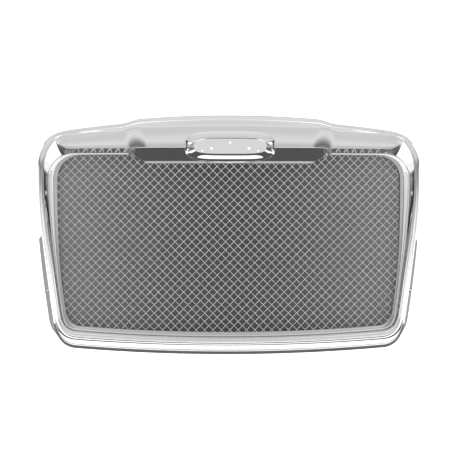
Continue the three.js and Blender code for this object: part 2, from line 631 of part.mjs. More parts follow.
// ---------- Hood brackets ----------
const BRACKET_SPOTS = {
  upper: { run: "top", t: 0.62 },
  middle: { run: "side", t: 0.25 },
  lower: { run: "bottom", t: 0.3 },
};
// A frame on the rear rim: local X runs inwards, local Y to the rear, with Y = 0 on the mounting plane.
function rimFrame(spot, side) {
  const at = onRail(RAILS.rim, spot);
  const near = onRail(RAILS.rim, { ...spot, t: spot.t + 0.01 });
  const run = new THREE.Vector3(side * (near[0] - at[0]), 0, near[1] - at[1]).normalize();
  const rear = new THREE.Vector3(0, 1, 0);
  const inward = new THREE.Vector3().crossVectors(rear, run);
  if (inward.dot(new THREE.Vector3(-side * at[0], 0, -at[1])) < 0) inward.negate();
  const along = new THREE.Vector3().crossVectors(inward, rear);
  return new THREE.Matrix4().makeBasis(inward, rear, along).setPosition(side * at[0], 0, at[1]);
}
const TAB_SEAT = RIM_FORE - FIT; // fore of the tab's front face
const BOSS_END = RIM_FORE + SCREW_LENGTH; // fore of the bosses on the rim's flange
const TAB_MIDDLE = (WALL + RIM_FLANGE) / 2;
const FOOT_MIDDLE = RIM_FLANGE + BRACKET_REACH / 2;
function bracketBody(frame) {
  const [tab, foot, t] = [-TAB_SEAT, 0, BRACKET_SHEET];
  const profile = [
    [WALL, tab],
    [RIM_FLANGE + t, tab],
    [RIM_FLANGE + t, foot - t],
    [RIM_FLANGE + BRACKET_REACH, foot - t],
    [RIM_FLANGE + BRACKET_REACH, foot],
    [RIM_FLANGE, foot],
    [RIM_FLANGE, tab + t],
    [WALL, tab + t],
  ];
  const shape = new THREE.Shape(profile.map(([x, y]) => new THREE.Vector2(x, y)));
  const sheet = new THREE.ExtrudeGeometry(shape, { depth: BRACKET_WIDTH, bevelEnabled: false });
  const centred = frame.clone().multiply(new THREE.Matrix4().makeTranslation(0, 0, -BRACKET_WIDTH / 2));
  return toSolid(sheet, centred);
}
const bracketScrewsAt = [-BRACKET_SCREW_SPACING / 2, BRACKET_SCREW_SPACING / 2];
const rimBosses = [];
const rimHoles = [];
for (const [level, spot] of Object.entries(BRACKET_SPOTS)) {
  for (const [sideName, side] of [["left", -1], ["right", 1]]) {
    const frame = rimFrame(spot, side);
    const tabHoles = bracketScrewsAt.map((z) => barIn(frame, SCREW_SHANK + FIT, -TAB_SEAT - 1, -TAB_SEAT + 4, ROUND, [TAB_MIDDLE, z]));
    const boltHole = barIn(frame, HOOD_BOLT_HOLE, -BRACKET_SHEET - 1, 1, 16, [FOOT_MIDDLE, 0]);
    place(`hood_bracket_${level}_${sideName}`, toGeometry(cut(bracketBody(frame), [...tabHoles, boltHole])), zincSteel);
    const nut = barIn(frame, HOOD_NUT_ACROSS / Math.sqrt(3), -BRACKET_SHEET - FIT - HOOD_NUT_HEIGHT, -BRACKET_SHEET - FIT, 6, [FOOT_MIDDLE, 0]);
    const bore = barIn(frame, HOOD_BOLT_HOLE - 0.5, -40, 1, 16, [FOOT_MIDDLE, 0]);
    place(`hood_nut_${level}_${sideName}`, toGeometry(nut.subtract(bore)), zincSteel);
    const seat = frame.clone().multiply(new THREE.Matrix4().makeTranslation(0, -TAB_SEAT + BRACKET_SHEET, 0));
    bracketScrewsAt.forEach((z, i) => {
      place(`bracket_screw_${level}_${sideName}_${i + 1}`, screwIn(seat, SCREW_LENGTH, [TAB_MIDDLE, z]), zincSteel);
      rimBosses.push(barIn(frame, SCREW_SHANK + 3, -BOSS_END, -RIM_FORE - WALL / 2, ROUND, [TAB_MIDDLE, z]));
      rimHoles.push(barIn(frame, SCREW_SHANK + FIT, -BOSS_END - 1, 1 - RIM_FORE, ROUND, [TAB_MIDDLE, z]));
    });
  }
}

// ---------- Assembly ----------
const badgeBosses = STUD_SPOTS.map(([x, z]) => foreBar(x, z, BOSS_RADIUS, 200, bossEnd(x, z)).intersect(insideWall));
const studHoles = STUD_SPOTS.map(([x, z]) => foreBar(x, z, STUD_RADIUS + FIT, 200, 60));
const surround = cut(joined(toSolid(shellSkin), [...posts, ...rimBosses, ...badgeBosses]), [
  ...postHoles,
  ...rimHoles,
  ...studHoles,
  badgeBlock(-BADGE_SEAT, -10, 60),
]);
place("surround_shell", toGeometry(surround), chrome);
place(
  "mesh_frame",
  panelBand([
    [0, CHANNEL_FRONT],
    [CHANNEL_WIDTH, CHANNEL_FRONT],
    [CHANNEL_WIDTH, CHANNEL_FRONT + CHANNEL_THICK],
    [0, CHANNEL_FRONT + CHANNEL_THICK],
    [0, CHANNEL_FRONT + CHANNEL_THICK - CHANNEL_SHEET],
    [CHANNEL_WIDTH - CHANNEL_SHEET, CHANNEL_FRONT + CHANNEL_THICK - CHANNEL_SHEET],
    [CHANNEL_WIDTH - CHANNEL_SHEET, CHANNEL_FRONT + CHANNEL_SHEET],
    [0, CHANNEL_FRONT + CHANNEL_SHEET],
  ]),
  chrome,
);
const slant = Math.SQRT1_2;
place("mesh_front_wires", wireLayer([slant, slant], FRONT_WIRES), brightWire);
place("mesh_rear_wires", wireLayer([slant, -slant], REAR_WIRES), brightWire);
place("bug_screen", screenSheet(panelRing(CHANNEL_WIDTH - 2), SCREEN_FRONT), screenCloth);
place(
  "bug_screen_frame",
  panelBand([
    [CHANNEL_WIDTH, SCREEN_FRAME_FRONT],
    [CHANNEL_WIDTH, SCREEN_FRAME_FRONT + SCREEN_FRAME_THICK],
    [CHANNEL_WIDTH - SCREEN_FRAME_WIDTH, SCREEN_FRAME_FRONT + SCREEN_FRAME_THICK],
    [CHANNEL_WIDTH - SCREEN_FRAME_WIDTH, SCREEN_FRAME_FRONT],
  ]),
  blackPlastic,
);

export default grille;
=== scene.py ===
# %% [markdown]
# # A heavy truck's front grille
#
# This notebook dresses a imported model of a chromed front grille. The real thing is a plated moulded surround, a
# badge holder let into its top bar, a panel of woven wire in a channel frame, an insect screen clipped in behind
# it, and steel brackets that bolt it to the hood. Every visible surface is worked out with numpy, in millimetres,
# from the same lines that the part itself follows, and is put into the mesh in metres.

import bmesh
import bpy
import numpy as np
from mathutils import Matrix, Vector
from mathutils.bvhtree import BVHTree


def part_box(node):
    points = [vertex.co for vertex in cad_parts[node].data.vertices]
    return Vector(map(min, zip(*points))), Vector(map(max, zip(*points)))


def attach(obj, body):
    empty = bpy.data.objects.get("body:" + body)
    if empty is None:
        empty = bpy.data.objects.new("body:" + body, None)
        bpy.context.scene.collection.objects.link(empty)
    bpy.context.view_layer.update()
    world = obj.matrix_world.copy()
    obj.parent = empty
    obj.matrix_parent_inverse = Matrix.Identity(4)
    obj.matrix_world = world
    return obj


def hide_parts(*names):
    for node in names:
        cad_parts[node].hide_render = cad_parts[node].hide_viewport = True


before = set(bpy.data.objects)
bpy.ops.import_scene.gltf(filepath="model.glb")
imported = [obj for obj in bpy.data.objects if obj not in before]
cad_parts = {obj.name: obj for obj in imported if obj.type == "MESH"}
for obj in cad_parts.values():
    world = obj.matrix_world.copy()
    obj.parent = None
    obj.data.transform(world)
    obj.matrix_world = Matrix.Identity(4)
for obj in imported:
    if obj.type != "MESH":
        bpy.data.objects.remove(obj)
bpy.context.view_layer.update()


def placed(name, data):
    """An object with the given data, put into the scene."""
    made = bpy.data.objects.new(name, data)
    bpy.context.scene.collection.objects.link(made)
    return made


# %% [markdown]
# ## The camera
#
# A grille is looked at almost square on, so its openings read as true diamonds. A long lens far away keeps the
# sides from converging, and turning the camera by less than two degrees is enough to show one reveal more than
# the other.

# %% Camera
AIM = Vector((0.0018, -0.06, 0.0098))
DISTANCE = 4.6
TURN = np.radians(-1.7)
VIEW_WIDTH = 1.36

camera_data = bpy.data.cameras.new("camera")
camera_data.sensor_width = 36.0
camera_data.lens = 36.0 * DISTANCE / VIEW_WIDTH
camera_data.clip_end = 60.0
camera = placed("camera", camera_data)
camera.location = AIM + DISTANCE * Vector((np.sin(TURN), -np.cos(TURN), 0.0))
camera.rotation_euler = (AIM - camera.location).to_track_quat("-Z", "Y").to_euler()
bpy.context.scene.camera = camera
print("lens", round(camera_data.lens, 1), "mm")

# %% [markdown]
# ## The driving sizes
#
# These are the sizes of the part, in millimetres: the outline, how far the front bows and leans, and the layers
# behind the ledge. "Fore" is the distance in front of the rear mounting plane, so it grows towards the viewer.

# %% Sizes
WIDTH, HEIGHT = 1150.0, 705.0
HALF_W, HALF_H = WIDTH / 2, HEIGHT / 2
CROWN_FORE, BOW, LEAN, LEAN_CENTRE = 150.0, 50.0, 78.0, 0.43
SIDE_TAPER, TAPER_POWER, SIDE_EASE, TOP_ARCH, BOTTOM_ARCH = 40.0, 1.6, 1.25, 35.0, 16.5
WALL, RIM_FORE, RIM_FLANGE = 3.0, 20.0, 20.0
BLOCK_RAISE, CENTRE_SHARE, SHOULDER_SHARE, STRAIGHT_SHARE = 14.0, 0.55, 0.12, 0.45
PANEL_FORE, PANEL_TILT = 100.0, 0.035
WIRE_RADIUS, WIRE_PITCH, WIRE_REACH, WIRE_PLAY = 1.5, 17.4, 7.0, 0.06
CHANNEL_SHEET, CHANNEL_WIDTH, GAP, FIT = 1.5, 16.0, 0.8, 0.3
LAYER, CLOTH_THICK, CLOTH_INSET = 3.0, 1.0, 2.0
CHANNEL_FRONT = WALL + GAP
CHANNEL_THICK = 2 * CHANNEL_SHEET + 2 * LAYER + 3 * GAP
WEAVE_MIDDLE = CHANNEL_FRONT + CHANNEL_THICK / 2
SCREEN_FRONT = CHANNEL_FRONT + CHANNEL_THICK + GAP
SCREEN_FRAME_FRONT = SCREEN_FRONT + CLOTH_THICK + GAP
SCREEN_FRAME_THICK, SCREEN_FRAME_WIDTH = 5.0, 20.0


def crown_fore(x, z):
    """Fore of the foremost skin: the centre's value, less a square law in x (the bow) and one in z (the lean)."""
    return CROWN_FORE - BOW * (x / HALF_W) ** 2 - LEAN * ((z + HALF_H * LEAN_CENTRE) / HEIGHT) ** 2


def panel_fore(x, z):
    """Fore of the ledge: the same bow as the skin, and a slight even tilt."""
    return PANEL_FORE - BOW * (x / HALF_W) ** 2 - PANEL_TILT * z


print("panel bow", BOW, "mm over", WIDTH, "mm")

# %% [markdown]
# ## The rails
#
# A moulded surround is hard to draw as one surface, but easy as a few closed lines that run round it: the rear
# rim, the shoulder, the crown, the brow, the chin, the sill, the reveal, the ledge and the panel's edge. Each
# rail has a top run, a corner, a side, a lower corner and a bottom run, and all rails are sampled at the same
# stations. Joining the rails at one station gives the moulding's section there.

# %% Rails
RAIL_KEYS = ("top", "arch", "shoulder", "corner_x", "corner_z", "high", "low", "bottom", "foot_x", "foot_z")
RAIL_VALUES = {
    "rim": (0, TOP_ARCH, 10, 95, 152, 0, 0, 6, 125, 102),
    "shoulder": (14, 31, 9, 96, 156, 12, 20, 0, 125, 100),
    "crown": (27, 24, 8, 100, 165, 21, 30, 24, 127, 108),
    "brow": (36.5, 18, 6, 105, 177, 28, 41, 49, 130, 116),
    "chin": (102, 0, 1.5, 135, 177, 30, 43, 51.5, 130, 117),
    "sill": (142, 0, -25, 122, 185, 42.6, 47, 52.6, 130, 117.5),
    "reveal": (142.8, 0, -25, 120, 187, 43.6, 47.8, 53.4, 130, 118),
    "ledge": (145, 0, -25, 130, 192, 55, 50, 55, 131, 120),
    "panel": (147.5, 0, -26, 145, 192, 67, 57, 63.5, 135, 127),
}
RAILS = {name: dict(zip(RAIL_KEYS, values)) for name, values in RAIL_VALUES.items()}
CORNER_PULL, CHIN_GAP, CHIN_MEETS = 0.6, 2.0, 0.35
TAPER_START, TAPER_END = HALF_H - 202, -HALF_H + 96


def lerp(a, b, t):
    """The straight mix: a at t = 0, b at t = 1."""
    return a + (b - a) * t


def ease(t):
    """The smooth step: three t squared less two t cubed, held at 0 and 1 outside."""
    t = np.clip(t, 0, 1)
    return t * t * (3 - 2 * t)


def unit(vectors):
    """The vectors at length 1."""
    return vectors / np.linalg.norm(vectors, axis=-1, keepdims=True)


def shoulder_ramp(t):
    """0 on the raised centre and 1 beyond its shoulder: a straight ramp mixed with a smooth step."""
    u = np.clip((t - CENTRE_SHARE) / SHOULDER_SHARE, 0, 1)
    return STRAIGHT_SHARE * u + (1 - STRAIGHT_SHARE) * ease(u)


def side_x(z):
    """The flank: the half width, less a power of the drop below the height where the taper starts."""
    return HALF_W - SIDE_TAPER * np.maximum(0, (TAPER_START - z) / (TAPER_START - TAPER_END)) ** TAPER_POWER


def top_run(r, t):
    """x grows evenly with t; z is the top edge less the rail's drop, a square-law arch and the shoulder."""
    z = HALF_H - r["top"] - r["arch"] * t * t - r["shoulder"] * shoulder_ramp(t)
    return np.stack([t * (HALF_W - r["corner_x"]), z], -1)


def side_run(r, t):
    """z falls evenly with t; x is the flank less an inset that eases from its high to its low value."""
    z = lerp(HALF_H - r["corner_z"], -HALF_H + r["foot_z"], t)
    return np.stack([side_x(z) - lerp(r["high"], r["low"], ease(t * SIDE_EASE)), z], -1)


def bottom_run(r, t):
    """x shrinks evenly to 0; z is the bottom edge plus the rail's height and a square-law rise."""
    return np.stack([(HALF_W - r["foot_x"]) * (1 - t), -HALF_H + r["bottom"] + BOTTOM_ARCH * (1 - t) ** 2], -1)


def bezier(a, b, c, d, t):
    """The cubic Bezier curve through a and d with handles b and c."""
    t = t[:, None]
    return (1 - t) ** 3 * a + 3 * (1 - t) ** 2 * t * b + 3 * (1 - t) * t * t * c + t**3 * d


def corner_run(r, t):
    """A Bezier that leaves the top run along its slope and joins the side run straight down."""
    one, zero = np.array([1.0]), np.array([0.0])
    a, d = top_run(r, one)[0], side_run(r, zero)[0]
    out = CORNER_PULL * (d[0] - a[0])
    b = a + np.array([out, -2 * r["arch"] / a[0] * out])
    return bezier(a, b, np.array([d[0], lerp(d[1], a[1], CORNER_PULL)]), d, t)


def foot_run(r, t):
    """A Bezier that leaves the side run along its lean and joins the bottom run along its rise."""
    a, near = side_run(r, np.array([1.0, 0.98]))
    d = bottom_run(r, np.array([0.0]))[0]
    down, across = CORNER_PULL * (a[1] - d[1]), CORNER_PULL * (a[0] - d[0])
    lean = (near[0] - a[0]) / (near[1] - a[1])
    c = d + np.array([across, across * 2 * BOTTOM_ARCH / d[0]])
    return bezier(a, a + np.array([-down * lean, -down]), c, d, t)


RUNS = {"top": top_run, "corner": corner_run, "side": side_run, "foot": foot_run, "bottom": bottom_run}
COUNTS = {"top": 110, "corner": 56, "side": 60, "foot": 48, "bottom": 64}


STATIONS = {run: np.arange(count) / count for run, count in COUNTS.items()}
STATIONS["bottom"] = np.append(STATIONS["bottom"], 1.0)
RUN_OF = np.concatenate([np.full(len(t), i) for i, t in enumerate(STATIONS.values())])
T_OF = np.concatenate(list(STATIONS.values()))
CORNER_RUN = list(RUNS).index("corner")


def rail_points(rail):
    """The rail's x and z at all stations of the right half, which are spaced evenly inside each run."""
    return np.concatenate([RUNS[run](rail, t) for run, t in STATIONS.items()])


def grown(rail, by):
    """The same rail moved outwards by a distance."""
    return {**rail, **{key: rail[key] - by for key in ("top", "high", "low", "bottom")}}


print("stations on the right half", len(T_OF))

# %% [markdown]
# ## Turning points into meshes
#
# Everything below ends as rows of points. One helper mirrors the right half into a full loop, and another joins
# the rows into quads, closes them, and turns the faces outwards by the sign of the enclosed volume.

# %% Mesh helpers
MM = 0.001
LEG_SHARE = 0.45
BETWEEN = np.array([0.0, 0.04, 0.2, 0.4, 0.6, 0.8, 0.96, 1.0])[:, None, None]


def full_loop(half):
    """Mirrors rows of points from x = 0 to x = 0 about the plane of symmetry, as one closed loop of rows."""
    left = half[1:-1][::-1].copy()
    left[..., 0] *= -1
    return np.concatenate([half, left])


def grid_faces(rows, columns, closed_rows=True, closed_columns=True):
    """Quads between neighbouring rows and columns of a grid, with a wrap in each closed direction."""
    i = np.arange(rows if closed_rows else rows - 1)[:, None]
    j = np.arange(columns if closed_columns else columns - 1)[None, :]
    k, m = (i + 1) % rows, (j + 1) % columns
    return np.stack([i * columns + j, i * columns + m, k * columns + m, k * columns + j], -1).reshape(-1, 4)


def enclosed_volume(points, faces):
    """A sixth of the sum of p . (q x r) over the two triangles of each quad."""
    p, q, r, s = (points[faces[:, n]] for n in range(4))
    return (np.einsum("ij,ij->i", p, np.cross(q, r)) + np.einsum("ij,ij->i", p, np.cross(r, s))).sum() / 6


def dress(mesh, material):
    """Makes a mesh smooth and gives it one material."""
    mesh.polygons.foreach_set("use_smooth", np.full(len(mesh.polygons), True))
    mesh.materials.clear()
    mesh.materials.append(material)


def smooth_mesh(name, points, faces, material):
    """A smooth mesh of one material, from points in metres."""
    mesh = bpy.data.meshes.new(name)
    mesh.from_pydata(points.tolist(), [], faces)
    dress(mesh, material)
    return mesh


def make_piece(name, points, faces, material, caps=()):
    """Makes a mesh object from points in millimetres, quads and optional end polygons, facing outwards."""
    points = points.reshape(-1, 3)
    if enclosed_volume(points, faces) < 0:
        faces, caps = faces[:, ::-1], [cap[::-1] for cap in caps]
    piece = placed(name, smooth_mesh(name, points * MM, faces.tolist() + [cap.tolist() for cap in caps], material))
    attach(piece, "root")
    return piece


def looped_piece(name, rows, material):
    """A piece from rows of points that close on themselves both ways."""
    return make_piece(name, rows, grid_faces(*rows.shape[:2]), material)


def end_caps(rows, columns):
    """The first and the last row of a grid, as two polygons."""
    return [np.arange(columns)[::-1], (rows - 1) * columns + np.arange(columns)]


def capped_piece(name, rows, material):
    """A piece from closed rows of points, with a polygon over the first and the last."""
    shape = rows.shape[:2]
    return make_piece(name, rows, grid_faces(*shape, closed_rows=False), material, end_caps(*shape))


def rounded(points, radii, bulges=None, steps=7):
    """Rounds the corners of a line of (corners, stations, 3) points, for all stations at once.

    A corner becomes the quadratic Bezier between the points at the given distance on its two legs, at most
    LEG_SHARE of a leg. Between corners the line is straight, plus a bulge of 4 v (1 - v) in the last coordinate.
    """
    count = len(points)
    bulges = np.zeros(count) if bulges is None else np.asarray(bulges, float)
    legs = np.linalg.norm(points[1:] - points[:-1], axis=-1)[..., None]
    u = np.linspace(0, 1, steps)[:, None, None]
    spans, start = [], points[0]
    for i in range(1, count):
        toward = points[i] - points[i - 1]
        last = i == count - 1
        end = points[i] if last else points[i] - toward * np.minimum(LEG_SHARE, radii[i] / legs[i - 1])
        span = start + (end - start) * BETWEEN
        span[..., 2:] += bulges[i] * 4 * BETWEEN * (1 - BETWEEN)
        spans.append(span[:-1] if not last and radii[i] > 0 else span)
        if last:
            break
        if radii[i] > 0:
            out = points[i] + (points[i + 1] - points[i]) * np.minimum(LEG_SHARE, radii[i] / legs[i])
            spans.append(((1 - u) ** 2 * end + 2 * u * (1 - u) * points[i] + u * u * out)[:-1])
            start = out
        else:
            start = points[i]
    return np.concatenate(spans)


print("helpers ready")

# %% [markdown]
# ## Plating and grain as shared node groups
#
# Chrome plate on a moulding is never optically flat: the moulding underneath gives it a very slow waviness, and
# handling leaves a faint haze. Both are noise, one in the normal and one in the roughness. They are built once, as
# a node group with named inputs, because the surround, the badge holder, the channel and the wire all wear them.

# %% Node group helpers
def new_group(name, inputs, outputs):
    """Makes a shader node group with float inputs of given defaults and outputs of given socket types."""
    group = bpy.data.node_groups.new(name, "ShaderNodeTree")
    for label, default in inputs.items():
        socket = group.interface.new_socket(name=label, in_out="INPUT", socket_type="NodeSocketFloat")
        socket.default_value = default
    for label, kind in outputs.items():
        group.interface.new_socket(name=label, in_out="OUTPUT", socket_type=kind)
    return group, group.nodes.new("NodeGroupInput"), group.nodes.new("NodeGroupOutput")


def add_node(tree, kind, **values):
    """Adds a node and sets the named sockets or properties."""
    node = tree.nodes.new(kind)
    for key, value in values.items():
        if key in node.inputs:
            node.inputs[key].default_value = value
        else:
            setattr(node, key, value)
    return node


def worked(tree, operation, *terms):
    """The result of a math node. Each term is a number or the output of another node."""
    node = add_node(tree, "ShaderNodeMath", operation=operation)
    for slot, term in enumerate(terms):
        if isinstance(term, bpy.types.NodeSocket):
            tree.links.new(term, node.inputs[slot])
        else:
            node.inputs[slot].default_value = term
    return node.outputs[0]


def coordinates(tree, kind):
    """The outputs X, Y and Z of one kind of texture coordinate."""
    place, split = add_node(tree, "ShaderNodeTexCoord"), add_node(tree, "ShaderNodeSeparateXYZ")
    tree.links.new(place.outputs[kind], split.inputs[0])
    return split.outputs


def noise(tree, scale, **values):
    """Noise over the object's own coordinates, at the scale that a socket gives."""
    place, cloud = add_node(tree, "ShaderNodeTexCoord"), add_node(tree, "ShaderNodeTexNoise", **values)
    tree.links.new(place.outputs["Object"], cloud.inputs["Vector"])
    tree.links.new(scale, cloud.inputs["Scale"])
    return cloud.outputs["Fac"]


def bumped(tree, height, normal, **values):
    """A bump node from a height to the socket that takes the normal."""
    bump = add_node(tree, "ShaderNodeBump", **values)
    tree.links.new(height, bump.inputs["Height"])
    tree.links.new(bump.outputs["Normal"], normal)
    return bump


def plating_group():
    """Waviness is slow noise through a bump; Roughness is a base value plus fine noise times a haze."""
    group, given, result = new_group(
        "plated_finish",
        {"Wave Scale": 9.0, "Wave": 0.1, "Haze Scale": 160.0, "Base": 0.04, "Haze": 0.05},
        {"Roughness": "NodeSocketFloat", "Normal": "NodeSocketVector"},
    )
    slow = noise(group, given.outputs["Wave Scale"], Detail=1.0)
    fine = noise(group, given.outputs["Haze Scale"], Detail=5.0, Roughness=0.65)
    bump = bumped(group, slow, result.inputs["Normal"], Distance=0.002)
    group.links.new(given.outputs["Wave"], bump.inputs["Strength"])
    haze = worked(group, "MULTIPLY", fine, given.outputs["Haze"])
    group.links.new(worked(group, "ADD", haze, given.outputs["Base"]), result.inputs["Roughness"])
    return group


def grain_group():
    """Height is fine noise; Tone is slow noise between 1 - Mottle and 1, for fine dirt and uneven colour."""
    group, given, result = new_group(
        "fine_grain",
        {"Grain Scale": 900.0, "Tone Scale": 14.0, "Mottle": 0.2},
        {"Height": "NodeSocketFloat", "Tone": "NodeSocketFloat"},
    )
    group.links.new(noise(group, given.outputs["Grain Scale"], Detail=3.0), result.inputs["Height"])
    slow = noise(group, given.outputs["Tone Scale"], Detail=4.0)
    tone = worked(group, "SUBTRACT", 1.0, worked(group, "MULTIPLY", slow, given.outputs["Mottle"]))
    group.links.new(tone, result.inputs["Tone"])
    return group


PLATING, GRAIN = plating_group(), grain_group()
print("groups", [g.name for g in bpy.data.node_groups])

# %% [markdown]
# ## The finishes
#
# Each finish is one Principled shader. Metals get their brightness from what they reflect, so their base colour is
# only the metal's tint. The insect screen is a cloth of fine threads: two sets of waves at right angles, taken at
# their larger value, give its pores, and the same pattern is its bump.

# %% Finishes
MIX_A, MIX_B, MIX_RESULT = 6, 7, 2  # the colour sockets of a mix node
# The second value is a painted sheen: how fast the cloth's colour grows lighter with x squared towards the sides.
THREAD_PITCH, PAINTED_SHEEN_GAIN = 0.0016, 8.5
THREAD_RAMP = ((0.55, (0.032, 0.032, 0.033, 1)), (0.95, (0.12, 0.122, 0.125, 1)))


def new_finish(name, **values):
    """A material with one Principled shader, returned with its tree and shader."""
    material = bpy.data.materials.new(name)
    material.use_nodes = True
    shader = material.node_tree.nodes["Principled BSDF"]
    for label, value in values.items():
        shader.inputs[label].default_value = value
    return material, material.node_tree, shader


def plated(name, colour, wave, base, haze, wave_scale=9.0):
    """Bright plate: a constant colour, with waviness and haze from the shared group."""
    material, tree, shader = new_finish(name, **{"Metallic": 1.0, "Base Color": (*colour, 1)})
    values = {"Wave Scale": wave_scale, "Wave": wave, "Base": base, "Haze": haze}
    plate = add_node(tree, "ShaderNodeGroup", node_tree=PLATING, **values)
    for label in ("Roughness", "Normal"):
        tree.links.new(plate.outputs[label], shader.inputs[label])
    return material


def grained(name, colour, metallic, roughness, bump_strength, mottle, grain_scale):
    """A dull or brushed finish: the colour times the group's tone, and its height as a bump."""
    material, tree, shader = new_finish(name, Metallic=metallic, Roughness=roughness)
    values = {"Mottle": mottle, "Grain Scale": grain_scale}
    grain = add_node(tree, "ShaderNodeGroup", node_tree=GRAIN, **values)
    shade = add_node(tree, "ShaderNodeMix", data_type="RGBA", blend_type="MULTIPLY", Factor=1.0)
    shade.inputs[MIX_A].default_value = (*colour, 1)
    tree.links.new(grain.outputs["Tone"], shade.inputs[MIX_B])
    tree.links.new(shade.outputs[MIX_RESULT], shader.inputs["Base Color"])
    bumped(tree, grain.outputs["Height"], shader.inputs["Normal"], Strength=bump_strength, Distance=0.0004)
    return material


CHROME = plated("chrome_moulding", (0.87, 0.875, 0.885), wave=0.05, base=0.03, haze=0.05)
FRAME_CHROME = plated("frame_chrome", (0.50, 0.505, 0.51), wave=0.08, base=0.12, haze=0.14)
WIRE_CHROME = plated("wire_chrome", (0.72, 0.725, 0.73), wave=0.05, base=0.14, haze=0.14, wave_scale=60)
PLASTIC = grained("frame_plastic", (0.012, 0.012, 0.013), 0.0, 0.5, 0.35, 0.25, 1400)
SPRING = grained("spring_steel", (0.56, 0.57, 0.59), 1.0, 0.3, 0.12, 0.25, 500)
ZINC = grained("bracket_zinc", (0.62, 0.62, 0.60), 1.0, 0.38, 0.2, 0.35, 260)
SCREW_ZINC = grained("fastener_zinc", (0.66, 0.64, 0.58), 1.0, 0.33, 0.15, 0.3, 700)


def screen_cloth():
    """Threads are two rectified waves along x and z, 1.6 mm apart; a painted sheen lightens them with x squared,
    towards the sides.
    """
    material, tree, shader = new_finish("screen_cloth", Roughness=0.62)
    at = coordinates(tree, "Object")
    turns = [worked(tree, "MULTIPLY", at[axis], np.pi / THREAD_PITCH) for axis in ("X", "Z")]
    weave = worked(tree, "MAXIMUM", *[worked(tree, "ABSOLUTE", worked(tree, "SINE", turn)) for turn in turns])
    colour = add_node(tree, "ShaderNodeValToRGB")
    for element, (position, tone) in zip(colour.color_ramp.elements, THREAD_RAMP):
        element.position, element.color = position, tone
    tree.links.new(weave, colour.inputs["Fac"])
    # Painted sheen: the cloth's colour is scaled by 1 plus a gain times x squared, so it is lighter towards the sides
    # as if more light fell there.
    painted_sheen = worked(tree, "MULTIPLY_ADD", worked(tree, "MULTIPLY", at["X"], at["X"]), PAINTED_SHEEN_GAIN, 1.0)
    sheen_painted_colour = add_node(tree, "ShaderNodeVectorMath", operation="SCALE")
    tree.links.new(colour.outputs["Color"], sheen_painted_colour.inputs[0])
    tree.links.new(painted_sheen, sheen_painted_colour.inputs["Scale"])
    tree.links.new(sheen_painted_colour.outputs[0], shader.inputs["Base Color"])
    bumped(tree, weave, shader.inputs["Normal"], Strength=0.6, Distance=0.0004)
    return material


SCREEN = screen_cloth()
print("finishes", [m.name for m in bpy.data.materials])

# %% [markdown]
# ## The surround
#
# The section at a station starts on the rim's flange, turns forward up the flank to the shoulder, rolls over the
# crown and the brow, crosses the face to the chin, falls back down the reveal and ends on the ledge. The corners
# are rounded as a moulding's are, and the same line moved inwards by the wall gives the hidden side, so the piece
# is a true shell and not a solid block.

# %% Surround section
DEPTHS = {
    "shoulder": (55, 5, 9), "crown": (26, 0, 0), "brow": (14, 2.5, 2), "chin": (1.5, 5, 5), "sill": (24.6, 16, 16)
}
LIFTS = {"shoulder": 0.4, "crown": 0.8, "brow": 1.0, "chin": 1.0, "sill": 1.0}


def depth_of(name):
    """How deep a rail lies behind the skin: its top value less the raised centre, then eased through the runs."""
    top, side, bottom = DEPTHS[name]
    raised = 1 - shoulder_ramp(T_OF)
    choices = [
        top - LIFTS[name] * BLOCK_RAISE * raised,
        lerp(top, side, ease(T_OF)),
        side,
        lerp(side, bottom, ease(T_OF)),
        bottom,
    ]
    return np.choose(RUN_OF, choices)


def chin_line():
    """The chin rail, drawn to within a small gap of the brow rail as it goes round the corner."""
    brow, chin = (rail_points(RAILS[name]) for name in ("brow", "chin"))
    span = np.linalg.norm(chin - brow, axis=-1)
    met = np.minimum(1, T_OF / CHIN_MEETS) ** 4
    keep = np.where(RUN_OF == CORNER_RUN, lerp(span, CHIN_GAP, met) / span, 1.0)
    return lerp(brow, chin, keep[:, None])


RIM_LINE = rail_points(RAILS["rim"])
INWARD = unit(rail_points(RAILS["panel"]) - RIM_LINE)
ACROSS = np.stack([-INWARD[:, 1], INWARD[:, 0]], -1)


def to_section(line, fore):
    """A point as (inset, drift, fore): how far inwards from the rim, how far along it, and how far forward."""
    d = line - RIM_LINE
    return np.stack([(d * INWARD).sum(-1), (d * ACROSS).sum(-1), fore], -1)


def from_section(section):
    """Back from (inset, drift, fore) to x, y and z."""
    flat = RIM_LINE + section[..., 0:1] * INWARD + section[..., 1:2] * ACROSS
    return np.stack([flat[..., 0], -section[..., 2], flat[..., 1]], -1)


def surround_corners():
    """The corners of the visible line at every station, from the flange's end to the ledge's end."""
    rim = to_section(RIM_LINE, np.full(len(T_OF), RIM_FORE))
    flange = rim.copy()
    flange[:, 0] = RIM_FLANGE
    corners = [flange, rim]
    for name in ("shoulder", "crown", "brow", "chin", "sill"):
        line = chin_line() if name == "chin" else rail_points(RAILS[name])
        corners.append(to_section(line, crown_fore(line[:, 0], line[:, 1]) - depth_of(name)))
    for name in ("reveal", "ledge"):
        line = rail_points(RAILS[name])
        corners.append(to_section(line, panel_fore(line[:, 0], line[:, 1])))
    return np.array(corners)


def moved_inwards(corners, by):
    """The line moved to its hidden side: each corner goes along its mitre, so the wall is even."""
    leg = (corners[1:] - corners[:-1])[..., [0, 2]]
    normal = unit(np.stack([leg[..., 1], -leg[..., 0]], -1))
    total = np.concatenate([normal[:1], normal]) + np.concatenate([normal, normal[-1:]])
    step = total * (2 * by / np.maximum(0.5, (total**2).sum(-1)))[..., None]
    moved = corners.copy()
    moved[..., 0] += step[..., 0]
    moved[..., 2] += step[..., 1]
    return moved


